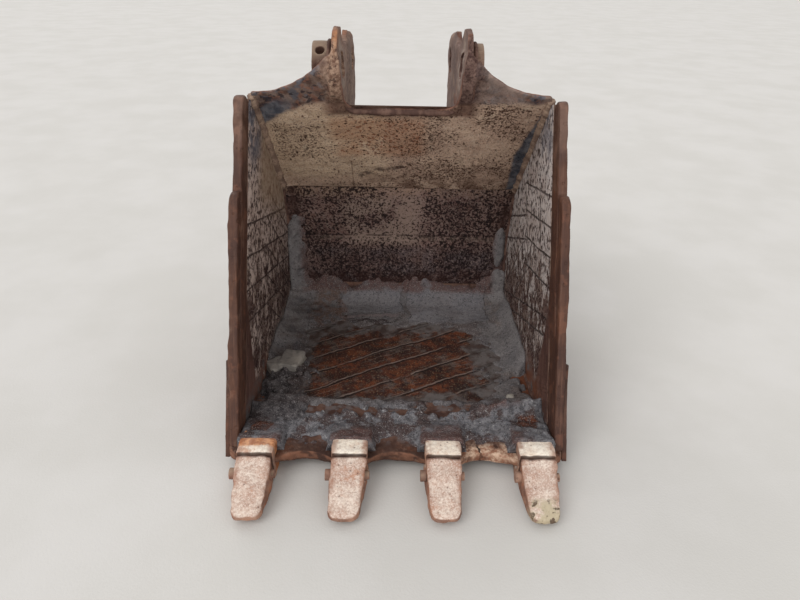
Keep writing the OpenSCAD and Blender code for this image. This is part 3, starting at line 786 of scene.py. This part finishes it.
def step(values, low, high):
    """A smooth step from 0 at low to 1 at high, on arrays."""
    t = np.clip((values - low) / (high - low), 0, 1)
    return t * t * (3 - 2 * t)


def placed(name, data):
    """A new object in the scene."""
    made = bpy.data.objects.new(name, data)
    bpy.context.scene.collection.objects.link(made)
    return made


def rows_of(items, field):
    """A mesh's points or normals as rows of three."""
    out = np.zeros(len(items) * 3)
    items.foreach_get(field, out)
    return out.reshape(-1, 3)


def tube(rings, sides):
    """The faces between rings of points, with so many sides."""
    faces = []
    for i in range(rings - 1):
        for j in range(sides):
            a, b = i * sides + j, i * sides + (j + 1) % sides
            faces.append((a, b, b + sides, a + sides))
    return faces


def show(name, points, faces, material):
    """A new piece from points and faces, riding on the one body."""
    mesh = bpy.data.meshes.new(name)
    mesh.from_pydata([tuple(q) for q in points], [], faces)
    mesh.update()
    mesh.materials.append(material)
    mesh.shade_smooth()
    piece = placed(name, mesh)
    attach(piece, "root")
    return piece


def rounded(name, nodes, voxel, rounds):
    """The CAD nodes as one mesh, rebuilt on a grid of voxels and smoothed in rounds."""
    points, faces = [], []
    for node in nodes:
        start, mesh = len(points), frame["nodes"][node].data
        points += [tuple(v.co) for v in mesh.vertices]
        faces += [[start + i for i in f.vertices] for f in mesh.polygons]
    rough = bpy.data.meshes.new(name)
    rough.from_pydata(points, [], faces)
    holder = placed(name + "_rough", rough)
    grid = holder.modifiers.new("grid", "REMESH")
    grid.mode, grid.voxel_size = "VOXEL", voxel
    ease = holder.modifiers.new("ease", "SMOOTH")
    ease.factor, ease.iterations = 0.5, rounds
    made = bpy.data.meshes.new_from_object(holder.evaluated_get(bpy.context.evaluated_depsgraph_get()))
    bpy.data.objects.remove(holder)
    return made


def worn(name, nodes, voxel, rounds, lumps=(), shape=None, move=None, second=None):
    """The CAD nodes as one solid with rounded, uneven edges, which replaces them.

    lumps are rows of size, depth and seed. shape gives a further push along the normal, and move
    new places. second is another paint, with a function that picks its faces."""
    made = rounded(name, nodes, voxel, rounds)
    at, out = rows_of(made.vertices, "co"), rows_of(made.vertices, "normal")
    push = sum(depth * cloud(at, size, seed) for size, depth, seed in lumps)
    if shape:
        push = push + shape(at, out)
    at = at + out * np.reshape(push, (-1, 1))
    if move:
        at = move(at)
    made.vertices.foreach_set("co", at.ravel())
    made.update()
    made.shade_smooth()
    made.materials.clear()
    made.materials.append(PAINTS[SLOTS[nodes[0]]])
    if second:
        paint, where = second
        made.materials.append(paint)
        made.polygons.foreach_set("material_index", where(made).astype(np.int32))
    made.name = name
    piece = placed(name, made)
    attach(piece, "root")
    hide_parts(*nodes)
    return piece


def bead(name, path, size, seed=1, closed=False, paint=None):
    """A weld bead: a rippled tube along path, half sunk into what it joins."""
    sides, pitch = 8, 0.004
    path = [Vector(q) for q in path]
    if closed:
        path.append(path[0])
    lengths = [0.0]
    for a, b in zip(path, path[1:]):
        lengths.append(lengths[-1] + (b - a).length)
    count = max(8, int(lengths[-1] / pitch))
    centre = np.array([[np.interp(t, lengths, [q[i] for q in path]) for i in range(3)]
                       for t in np.linspace(0, lengths[-1], count)])
    way = np.gradient(centre, axis=0)
    way /= np.linalg.norm(way, axis=1)[:, None]
    lift = np.array([0.31, 0.83, 0.46]) if abs(way[0][2]) > 0.8 else np.array([0.05, 0.1, 1.0])
    first = np.cross(way, lift)
    first /= np.linalg.norm(first, axis=1)[:, None]
    second = np.cross(way, first)
    ripple = 1 + 0.10 * np.sin(np.arange(count) * 2.1) + 0.16 * cloud(centre, 0.04, seed, 12)
    angles = np.arange(sides) * 2 * np.pi / sides
    ring = size * ripple[:, None, None] * (np.cos(angles)[None, :, None] * first[:, None, :]
                                           + np.sin(angles)[None, :, None] * second[:, None, :])
    points = (centre[:, None, :] + ring).reshape(-1, 3)
    faces = tube(count, sides)
    faces.append(tuple(range(sides))[::-1])
    faces.append(tuple((count - 1) * sides + j for j in range(sides)))
    return show(name, points, faces, paint or WELD_PAINT)


def layer(name, rows, columns, place, thick, material):
    """A closed layer on a surface: place(u, v) gives points and normals, thick(points) its depth.
    Where the depth is under zero there is none."""
    sunk = 0.007
    u, v = np.meshgrid(np.linspace(0, 1, columns), np.linspace(0, 1, rows))
    base, up = place(u.ravel(), v.ravel())
    depth = thick(base)
    keep = depth > 0
    top = base + up * np.maximum(depth, -sunk)[:, None]
    low = base - up * sunk
    number, quads = {}, []
    for i in range(rows - 1):
        for j in range(columns - 1):
            a = i * columns + j
            quad = [a, a + 1, a + columns + 1, a + columns]
            if keep[quad].any():
                quads.append([number.setdefault(q, len(number)) for q in quad])
    count, used = len(number), list(number)
    faces, edges = [], {}
    for q in quads:
        faces.append(tuple(q))
        faces.append(tuple(count + k for k in reversed(q)))
        for a, b in zip(q, q[1:] + q[:1]):
            if (b, a) in edges:
                del edges[(b, a)]
            else:
                edges[(a, b)] = True
    faces += [(b, a, count + a, count + b) for a, b in edges]
    return show(name, np.vstack([top[used], low[used]]), faces, material)


# Plates keep their CAD shape, with a small rounding on every edge
PLATES = ["floor_plate", "heel_plate", "back_plate", "upper_back", "box_bend", "box_top",
          "side_plate_left", "side_plate_right", "floor_strips", "heel_strips",
          "link_boss_left", "link_boss_right", "arm_boss_right",
          "tooth_pin_1", "tooth_pin_2", "tooth_pin_3", "tooth_pin_4"]
EDGE_R, EDGE_ANGLE, SAME_POINT = 0.002, math.radians(35), 0.0001
for node in PLATES:
    piece = frame["nodes"][node]
    piece.data.materials.clear()
    piece.data.materials.append(SIDE_PAINTS.get(node) or PAINTS[SLOTS[node]])
    joined = piece.modifiers.new("joined", "WELD")
    joined.merge_threshold = SAME_POINT
    edge = piece.modifiers.new("edge", "BEVEL")
    edge.width, edge.segments, edge.limit_method = EDGE_R, 3, "ANGLE"
    edge.angle_limit = EDGE_ANGLE
    edge.harden_normals = False


# Worn pieces
def lip_wear(at, out):
    """The lip's front edge is worn uneven between the teeth."""
    front = step(LIP_Y + 0.07 - at[:, 1], 0.0, 0.05)
    return -0.003 * front * (0.6 + 0.6 * cloud(at, 0.09, 11))


def tooth_wear(number):
    """Rounds a tooth's tip in plan, and crowns its top. The second tooth also leans left."""
    back, length, half_w, taper = LIP_Y - 0.025, 0.155, 0.05, 0.010
    middle = TOOTH_X[number - 1]
    lean = -0.008 if number == 2 else 0.0

    def move(at):
        out = at.copy()
        along = np.clip((back - at[:, 1]) / length, 0, 1.1)
        across = at[:, 0] - middle
        half = half_w - taper * along
        edge = np.clip(np.abs(across) / half, 0, 1)
        out[:, 1] += 0.011 * step(along, 0.7, 1.0) * edge ** 4
        out[:, 0] = middle + across * (1 + 0.03 * step(along, 0.6, 1.0)) + lean * along
        top = step(at[:, 2], FLOOR_UNDER + 0.01, FLOOR_UNDER + 0.03)
        out[:, 2] -= 0.004 * top * edge ** 3 + 0.003 * top * step(along, 0.75, 1.0)
        return out
    return move


def edge_wear(size, depth, seed):
    """Wears a cutter's front edge away unevenly."""
    def move(at):
        out = at.copy()
        y, z = at[:, 1] - MOUTH_TOP[0], at[:, 2] - MOUTH_TOP[1]
        deep = y * MOUTH_SIN - z * MOUTH_COS
        flat = np.column_stack([0 * y, y, z])
        back = depth * np.clip(0.5 + 0.6 * cloud(flat, size, seed), 0, 1.5) * step(0.03 - deep, 0, 0.05)
        out[:, 1] += back * MOUTH_SIN
        out[:, 2] -= back * MOUTH_COS
        return out
    return move


def on_ear(mesh):
    """Which faces of the frame are an ear's. Its front, flush with the wing, stays the plate's."""
    at, out = rows_of(mesh.polygons, "center"), rows_of(mesh.polygons, "normal")
    across = np.abs(at[:, 0])
    within = (across > EAR_IN - 0.004) & (across < EAR_OUT + 0.003)
    plate = (at[:, 2] - NOTCH[1]) * PLATE_OUT[1] + (at[:, 1] - NOTCH[0]) * PLATE_OUT[0] < 0.012
    return within & ~plate & (out[:, 1] > -0.35)


def ear_wear(at):
    """Rounds the rims of the ears' lobes."""
    across, y, z = np.abs(at[:, 0]), at[:, 1], at[:, 2]
    middle, half = (EAR_IN + EAR_OUT) / 2, (EAR_OUT - EAR_IN) / 2
    rim = 0 * y
    for lobe_y, lobe_z, radius, start in ((0, 0, ARM_LOBE_R, 0.04), (*LINK_PIN, LINK_LOBE_R, -0.02)):
        out_by = np.hypot(y - lobe_y, z - lobe_z) - radius
        top = lobe_z + radius
        share = 0.35 * step(z, start, start + 0.02) + 0.38 * step(z, top - 0.03, top)
        rim = np.maximum(rim, step(out_by, -0.022, 0.002) * share)
    pull = rim ** 2 * step(np.abs(across - middle), half + 0.010, half + 0.004)
    out = at.copy()
    out[:, 0] = np.sign(at[:, 0]) * (across + (middle - across) * pull)
    return out


for side, name in SIDES:
    worn(f"worn_bar_{name}", [f"side_bar_{name}"], 0.0035, 9,
         [(0.25, 0.0016, 21 + side), (0.06, 0.0008, 22 + side)], move=edge_wear(0.3, 0.003, 5 + side))
    worn(f"worn_cutter_{name}", [f"side_cutter_{name}"], 0.003, 14,
         [(0.2, 0.0016, 31 + side), (0.05, 0.0008, 32 + side)], move=edge_wear(0.3, 0.005, 15 + side))
    worn(f"worn_shoe_{name}", [f"corner_shoe_{name}"], 0.003, 5, [(0.12, 0.001, 41 + side)])
worn("worn_lock_boss", ["arm_boss_left"], 0.0025, 4, [(0.05, 0.0006, 61)])
worn("worn_frame", ["upper_plate", "wing_left", "wing_right", "ear_left", "ear_right"], 0.005, 6,
     [(0.2, 0.002, 62), (0.05, 0.0009, 63)], move=ear_wear, second=(PAINTS["ear_steel"], on_ear))
worn("worn_lip", ["cutting_lip"], 0.004, 12, [(0.12, 0.0018, 64), (0.035, 0.0008, 65)], lip_wear)
for i in range(1, 5):
    worn(f"worn_adapter_{i}", [f"adapter_{i}"], 0.0028, 45,
         [(0.07, 0.0014, 70 + i), (0.02, 0.0005, 80 + i)])
    worn(f"worn_tooth_{i}", [f"tooth_{i}"], 0.0025, 22,
         [(0.06, 0.0016, 90 + i), (0.02, 0.0005, 95 + i)], move=tooth_wear(i))


# Lines in the side view, as points [y, z] and angles in degrees
def off(point, angle, distance):
    """A point moved by a distance at an angle."""
    turn = math.radians(angle)
    return (point[0] + distance * math.cos(turn), point[1] + distance * math.sin(turn))


def arc(centre, radius, start, end, count=12):
    """Points on an arc between two angles."""
    return [off(centre, start + (end - start) * i / count, radius) for i in range(count + 1)]


def meet(p, a, q, b):
    """Where the line through p at angle a meets the line through q at angle b."""
    a, b = math.radians(a), math.radians(b)
    t = ((q[0] - p[0]) * math.sin(b) - (q[1] - p[1]) * math.cos(b)) / math.sin(b - a)
    return (p[0] + t * math.cos(a), p[1] + t * math.sin(a))


def box_centre():
    """The middle of the box bend, between the back plate and the box top."""
    corner = meet(FOOT, BACK_ANGLE, off(NOTCH_TOP, TOP_ANGLE - 90, -WRAP_T), TOP_ANGLE)
    run = BOX_R * math.tan(math.radians((TOP_ANGLE - BACK_ANGLE) / 2))
    turn = math.radians(BACK_ANGLE)
    return (corner[0] - run * math.cos(turn) - BOX_R * math.sin(turn),
            corner[1] - run * math.sin(turn) + BOX_R * math.cos(turn))


BACK_ANGLE, TOP_ANGLE, BOX_R, HEEL_R = 86, 161, 0.130, 0.090
HEEL = (FOOT[0] - HEEL_R * math.tan(math.radians(BACK_ANGLE / 2)), FLOOR_IN + HEEL_R)
PLATE_ANGLE = math.degrees(math.atan2(NOTCH[1] - BEND[1], NOTCH[0] - BEND[0]))
NOTCH_TOP = off(NOTCH, PLATE_ANGLE - 90, WRAP_T)
HEEL_IN = arc(HEEL, HEEL_R, -90, BACK_ANGLE - 90)
# The shell's outer face, from behind the lip round to the notch
OUTSIDE = ([(LIP_REAR, FLOOR_UNDER)] + arc(HEEL, HEEL_R + WRAP_T, -90, BACK_ANGLE - 90)
           + arc(box_centre(), BOX_R + WRAP_T, BACK_ANGLE - 90, TOP_ANGLE - 90) + [NOTCH_TOP])
LOW_SEAM = [(LIP_REAR, FLOOR_IN)] + HEEL_IN + [KNEE, BEND]
WING_LOW = -0.086
HIGH_SEAM = [BEND, NOTCH,
             (NOTCH[0] + (WING_LOW - NOTCH[1]) / math.tan(math.radians(PLATE_ANGLE)), WING_LOW)]
TAIL_END = (FOOT[0] + 0.048, -0.535)
EAR_SEAM = [(y, z) for y, z in reversed(OUTSIDE) if z > -0.54] + [TAIL_END]
MOUTH_RUN = (MOUTH_TOP[1] - LIP_TOP) / MOUTH_SIN


# Welds
def on_side(side, points):
    """Points [y, z] put on a side plate's inner face."""
    return [(side * side_in_at(y), y, z) for y, z in points]


def at_mouth(side, deep, up, out):
    """A point out from a side's inner face: deep behind the mouth's front line, up along it."""
    y = MOUTH_TOP[0] + up * MOUTH_COS + deep * MOUTH_SIN
    z = MOUTH_TOP[1] + up * MOUTH_SIN - deep * MOUTH_COS
    return (side * (side_in_at(y) + out), y, z)


def side_welds(side, name):
    """The seams of one side: its bar, the shell inside and outside, the ear, the bosses, the shoe."""
    low = -MOUTH_RUN + 0.24
    bead(f"weld_bar_{name}", [at_mouth(side, BAR_D + 0.002, up, SIDE_T + 0.001) for up in (-0.03, low)],
         0.008, 100 + side)
    bead(f"weld_back_{name}", on_side(side, LOW_SEAM), 0.008, 104 + side)
    bead(f"weld_upper_{name}", on_side(side, HIGH_SEAM), 0.015, 108 + side, paint=DUSTY_WELD)
    bead(f"weld_outside_{name}", on_side(side, OUTSIDE), 0.006, 106 + side)
    for k, x in enumerate((EAR_IN, EAR_OUT)):
        bead(f"weld_ear_{name}_{k}", [(side * x, y, z) for y, z in EAR_SEAM], 0.010, 110 + k)
    for pin, middle in (("arm", (0, 0)), ("link", LINK_PIN)):
        ring = [(side * (EAR_OUT + 0.001), y, z) for y, z in arc(middle, BOSS_R, 0, 350, 35)]
        bead(f"weld_{pin}_boss_{name}", ring, 0.006, 130, closed=True)
    bead(f"weld_shoe_{name}", [at_mouth(side, deep, low + 0.005, BAR_T) for deep in (0.004, BAR_D)],
         0.006, 140 + side)


def notch_rim():
    """The rounded rim along the bottom of the gap for the arm, and up its corners."""
    corner, size = 0.040, 0.0085
    y, z = (NOTCH[0] + NOTCH_TOP[0]) / 2 - 0.002, NOTCH[1] + corner
    half = [(EAR_IN + size, y, z)]
    half += [(x, y, w) for x, w in arc((EAR_IN - corner, z), corner + size, 0, -90, 10)]
    rim = half + [(-x, y, w) for x, y, w in reversed(half)]
    bead("notch_rim", rim, size + 0.001, 170)


def floor_welds():
    """The seams along the adapters' legs and along the floor's wear strips."""
    for i, x in enumerate(TOOTH_X):
        for side, name in SIDES:
            edge_x = x + side * (ADAPTER_W / 2 + 0.002)
            bead(f"weld_adapter_{i + 1}_{name}",
                 [(edge_x, LIP_Y + 0.04, LIP_TOP), (edge_x, LIP_Y + 0.15, LIP_TOP)],
                 0.008, 150 + i)
    for i, place in enumerate((-1, 0, 1)):
        for side, name in SIDES:
            edge_x = place * (SIDE_IN - STRIP_INSET) + side * STRIP_EDGE
            bead(f"weld_strip_{i + 1}_{name}",
                 [(edge_x, LIP_REAR + 0.05, FLOOR_UNDER), (edge_x, HEEL[0] - 0.01, FLOOR_UNDER)],
                 0.007, 160 + i)


for side, name in SIDES:
    side_welds(side, name)
notch_rim()
floor_welds()


# Dried mud and stones
INSIDE = ([(LIP_Y + 0.036, LIP_TOP), (LIP_REAR, LIP_TOP), (LIP_REAR + 0.012, FLOOR_IN)]
          + HEEL_IN + [KNEE, (BEND[0] + 0.02, -0.60)])
# Places in the mud: the bare band and the crest behind the lip, where the adapters' legs end and
# rise, the front of the back's mud, and the middle and half size of the patch at its right
BAND_Y, CREST_Y, CREST_X = -0.435, -0.455, 0.16
LEG_REAR, RAMP_Y, RAMP_RUN = -0.49, -0.500, 0.109
BACK_Y = 0.2
PATCH_AT, PATCH_HALF = (0.412, -0.745), (0.026, 0.085)


def mud_place(u, v):
    """Points and normals on the inside, u across and v from the lip up the back."""
    path = np.array(INSIDE)
    legs = np.hypot(*np.diff(path, axis=0).T)
    marks = np.concatenate([[0], np.cumsum(legs)])
    s = v * marks[-1]
    y, z = np.interp(s, marks, path[:, 0]), np.interp(s, marks, path[:, 1])
    reach = 0.01
    ahead = np.array([np.interp(s + reach, marks, path[:, k]) - np.interp(s - reach, marks, path[:, k])
                      for k in (0, 1)])
    ahead /= np.linalg.norm(ahead, axis=0)
    x = (2 * u - 1) * (side_in_at(y) - 0.001)
    return np.column_stack([x, y, z]), np.column_stack([0 * x, -ahead[1], ahead[0]])


def mud_cover(x, y, z, wall, coarse, middle, fine):
    """The mud's cover, heaped against the side walls but where their feet are bare."""
    rough = np.maximum(step(x, -0.20, -0.30), step(-y, 0.38, 0.44))
    depth = 0.012 + 0.004 * coarse + (0.0008 + 0.0014 * rough) * middle + (0.0005 + 0.0005 * rough) * fine
    heap = 0.055 * np.exp(-wall / 0.032) * step(y, -0.56, -0.30) * (1 + 0.12 * coarse)
    foot = step(y, BARE_FOOT[0] - 0.03, BARE_FOOT[0] + 0.02)
    foot = foot * step(-y, -BARE_FOOT[1] - 0.05, -BARE_FOOT[1] + 0.03) * np.where(x > 0, 1.0, 0.75)
    depth += heap * (1 - foot) * step(-z, -FLOOR_IN - 0.08, -FLOOR_IN - 0.03)
    return depth - 0.035 * foot * step(wall + 0.014 * middle + 0.008 * coarse, 0.050, 0.022)


def mud_off_patch(depth, x, y, on_floor, coarse, middle, fine):
    """Thins the mud towards the bare patch in the middle of the floor, and leaves the patch free."""
    dx, dy = np.abs(x - BARE[0]) - BARE[2] + 0.10, np.abs(y - BARE[1]) - BARE[3] + 0.10
    away = np.hypot(np.maximum(dx, 0), np.maximum(dy, 0)) - 0.10
    thin = 1 - on_floor * (1 - step(away + 0.03 * coarse, -0.03, 0.10)) * 0.8
    away += 0.040 * coarse + 0.022 * middle + 0.008 * fine
    return depth * thin - 0.02 * step(away, 0.01, -0.05) * on_floor


def mud_on_lip(depth, x, y, wall, coarse, middle):
    """A bare band behind the lip's weld, and a crest along the right half of the lip."""
    band = step(np.abs(y - BAND_Y - 0.02 * middle), 0.035, 0.012) * step(np.abs(x + 0.02), 0.30, 0.24)
    depth = depth - 0.03 * band * step(coarse + middle, -1.6, -0.2)
    crest = y - CREST_Y - 0.19 * np.maximum(x - CREST_X, 0) + 0.008 * coarse
    ahead = np.where(crest > 0, 0.009, 0.020)
    high = (0.007 + 0.016 * step(x, 0.10, 0.26)) * np.exp(-(crest / ahead) ** 2) * step(x, -0.34, -0.26)
    depth = depth + high * (1 + 0.3 * middle)
    return depth * (1 - 0.75 * step(-wall, -0.035, 0.0) * step(-y, 0.40, 0.46))


def mud_on_legs(depth, x, y, coarse, middle):
    """Over the adapters' legs, which rise to their collars. It ends ragged between the teeth."""
    leg = np.zeros(len(x))
    for tooth_x in TOOTH_X:
        leg = np.maximum(leg, step(np.abs(x - tooth_x), ADAPTER_W / 2 + 0.032, ADAPTER_W / 2 + 0.002))
    ramp = 0.010 + 0.035 * np.clip((RAMP_Y - y) / RAMP_RUN, 0, 1)
    depth = np.where(y < LEG_REAR, np.maximum(depth, leg * (ramp + 0.006 + 0.003 * middle)), depth)
    end = step(y + 0.014 * middle + 0.010 * coarse, LIP_Y + 0.055, LIP_Y + 0.085)
    return depth - 0.03 * (1 - end) * (1 - leg)


def mud_up_back(depth, x, y, z, coarse, middle):
    """A ragged edge on the heel, a ridge in the left corner and a patch in the right."""
    height = z + 0.018 * coarse + 0.006 * middle
    depth = depth - 0.05 * step(height, -0.915, -0.895) * (y > BACK_Y)
    ridge_w = 0.066 + 0.05 * step(z, -0.86, -0.93)
    left_gap = (side_in_at(y) + x) / ridge_w + 0.18 * middle + 0.12 * coarse
    ridge = 0.046 * step(left_gap, 1.0, 0.2) * step(height, -0.640, -0.70) - 0.002
    sunlit_right_gap = (side_in_at(y) - x) / (0.06 + 0.06 * step(z, -0.87, -0.93)) + 0.18 * middle
    right_ridge = 0.036 * step(sunlit_right_gap, 1.0, 0.2) * step(height, -0.86, -0.885) - 0.002
    blob = np.hypot((x - PATCH_AT[0]) / PATCH_HALF[0], (z - PATCH_AT[1]) / PATCH_HALF[1]) + 0.08 * middle
    patch = 0.012 * step(blob, 1.0, 0.6) - 0.001
    up_back = (y > BACK_Y) * step(z, -0.96, -0.915)
    return depth + up_back * (np.maximum.reduce([depth, ridge, right_ridge, patch]) - depth)


def mud_depth(at):
    """How deep the mud lies on each point of the inside. Less than 0 is bare."""
    x, y, z = at.T
    wall = side_in_at(y) - np.abs(x)
    on_floor = step(y, LIP_REAR - 0.02, LIP_REAR + 0.02) * step(z, -0.90, -0.94)
    coarse, middle, fine = cloud(at, 0.16, 201), cloud(at, 0.05, 202), cloud(at, 0.018, 203)
    depth = mud_cover(x, y, z, wall, coarse, middle, fine)
    depth = mud_off_patch(depth, x, y, on_floor, coarse, middle, fine)
    depth = mud_on_lip(depth, x, y, wall, coarse, middle)
    # Clots at the front left
    clots = step(x, -0.24, -0.33) * step(np.abs(y + 0.33), 0.20, 0.12) * on_floor
    depth += clots * (0.012 + 0.010 * np.clip(cloud(at, 0.045, 204), 0, 2) + 0.004 * cloud(at, 0.02, 205))
    depth = mud_on_legs(depth, x, y, coarse, middle)
    return mud_up_back(depth, x, y, z, coarse, middle)


layer("dried_mud", 215, 155, mud_place, mud_depth, DIRT_PAINT)


def stone(name, centre, size, turn, seed, square, rings=24, paint=STONE_PAINT):
    """A stone: a rounded block with an uneven surface. A low square value makes it blockier."""
    down, around = np.meshgrid(np.linspace(0, np.pi, rings + 1)[1:-1],
                               np.arange(2 * rings) * np.pi / rings, indexing="ij")
    ball = np.column_stack([(np.sin(down) * np.cos(around)).ravel(), (np.sin(down) * np.sin(around)).ravel(),
                            np.cos(down).ravel()])
    ball = np.vstack([ball, [[0, 0, 1], [0, 0, -1]]])
    ball = np.sign(ball) * np.abs(ball) ** square
    ball *= 1 + 0.07 * cloud(ball, 1.6, seed)[:, None] + 0.02 * cloud(ball, 0.5, seed + 1)[:, None]
    at = ball * np.array(size) / 2
    c, s = math.cos(math.radians(turn)), math.sin(math.radians(turn))
    at = np.column_stack([at[:, 0] * c - at[:, 1] * s, at[:, 0] * s + at[:, 1] * c, at[:, 2]])
    at += np.array(centre)
    wide, tall = 2 * rings, rings - 1
    faces = [(a, d, c, b) for a, b, c, d in tube(tall, wide)]
    top, low = tall * wide, tall * wide + 1
    for j in range(wide):
        k = (j + 1) % wide
        faces.append((top, j, k))
        faces.append((low, (tall - 1) * wide + k, (tall - 1) * wide + j))
    return show(name, at, faces, paint)


MUD_TOP = FLOOR_IN + 0.020
stone("slab_stone", (-0.372, -0.180, MUD_TOP + 0.012), (0.076, 0.098, 0.034), -12, 301, 0.25)
stone("wedge_stone", (-0.420, -0.205, MUD_TOP + 0.008), (0.066, 0.070, 0.032), 34, 303, 0.35)
stone("white_pebble", (0.372, -0.366, FLOOR_IN + 0.030), (0.032, 0.026, 0.022), 10, 305, 0.8, 12)
draw = np.random.default_rng(310)
for i in range(16):
    x, y = draw.uniform(-0.42, -0.26), draw.uniform(-0.50, -0.22)
    size = draw.uniform(0.010, 0.028) * np.array([1, draw.uniform(0.7, 1), draw.uniform(0.6, 0.9)])
    z = MUD_TOP + (0.012 if y > LIP_REAR else 0.018)
    stone(f"clod_{i + 1}", (x, y, z), size, draw.uniform(0, 180), 320 + 2 * i, 0.8, 8, DIRT_PAINT)


# Ground, light and camera. HALF is half the ground's side
HALF = 30.0
plane = bpy.data.meshes.new("ground")
plane.from_pydata([(-HALF, -HALF, GROUND), (HALF, -HALF, GROUND), (HALF, HALF, GROUND),
                   (-HALF, HALF, GROUND)], [], [(0, 1, 2, 3)])
ground = placed("ground", plane)
p = Paint("pale_floor", 0.9, 0.2)
p.bump(p.noise(160, 3), 0.0006)
p.colour = p.tone((206, 203, 198), (212, 209, 205), 2.5, 0.3, 0.7)
ground.data.materials.append(p.done())

world = bpy.data.worlds.new("studio")
world.use_nodes = True
bpy.context.scene.world = world
glow = world.node_tree.nodes["Background"]
glow.inputs[0].default_value = (1, 1, 1, 1)
glow.inputs[1].default_value = 0.7
seen = world.node_tree.nodes.new("ShaderNodeBackground")
seen.inputs[0].default_value = linear((226, 225, 222))
path = world.node_tree.nodes.new("ShaderNodeLightPath")
either = world.node_tree.nodes.new("ShaderNodeMixShader")
link = world.node_tree.links.new
link(path.outputs["Is Camera Ray"], either.inputs[0])
link(glow.outputs[0], either.inputs[1])
link(seen.outputs[0], either.inputs[2])
link(either.outputs[0], world.node_tree.nodes["World Output"].inputs[0])
SOFT = math.radians(40)


def sun(name, direction, strength):
    """A wide, soft light from far away in the given direction."""
    light = bpy.data.lights.new(name, "SUN")
    light.angle, light.energy = SOFT, strength
    placed(name, light).rotation_euler = Vector(direction).to_track_quat("Z", "Y").to_euler()


sun("key", (-0.55, -0.60, 0.75), 1.25)
sun("front", (0.25, -0.95, 0.15), 0.75)
sun("rear", (-0.45, 0.80, 0.60), 0.6)

# Where the photo was taken from, and the lens in millimetres
CAMERA_AT = Vector((-0.012, -1.908, 0.295))
SENSOR_W, FOCAL = 36.0, 27.0
YAW, PITCH, ROLL = (math.radians(v) for v in (0.6, 30.1, 1.15))
forward = Vector((math.sin(YAW) * math.cos(PITCH), math.cos(YAW) * math.cos(PITCH), -math.sin(PITCH)))
level = Vector((math.cos(YAW), -math.sin(YAW), 0))
upright = level.cross(forward)
right = level * math.cos(ROLL) + upright * math.sin(ROLL)
top = upright * math.cos(ROLL) - level * math.sin(ROLL)
lens = bpy.data.cameras.new("camera")
lens.sensor_width, lens.lens = SENSOR_W, FOCAL
camera = placed("camera", lens)
camera.matrix_world = Matrix([[right[i], top[i], -forward[i], CAMERA_AT[i]] for i in range(3)]
                             + [[0, 0, 0, 1]])
bpy.context.scene.camera = camera
bpy.context.scene.view_settings.view_transform = "Standard"

bpy.context.view_layer.update()
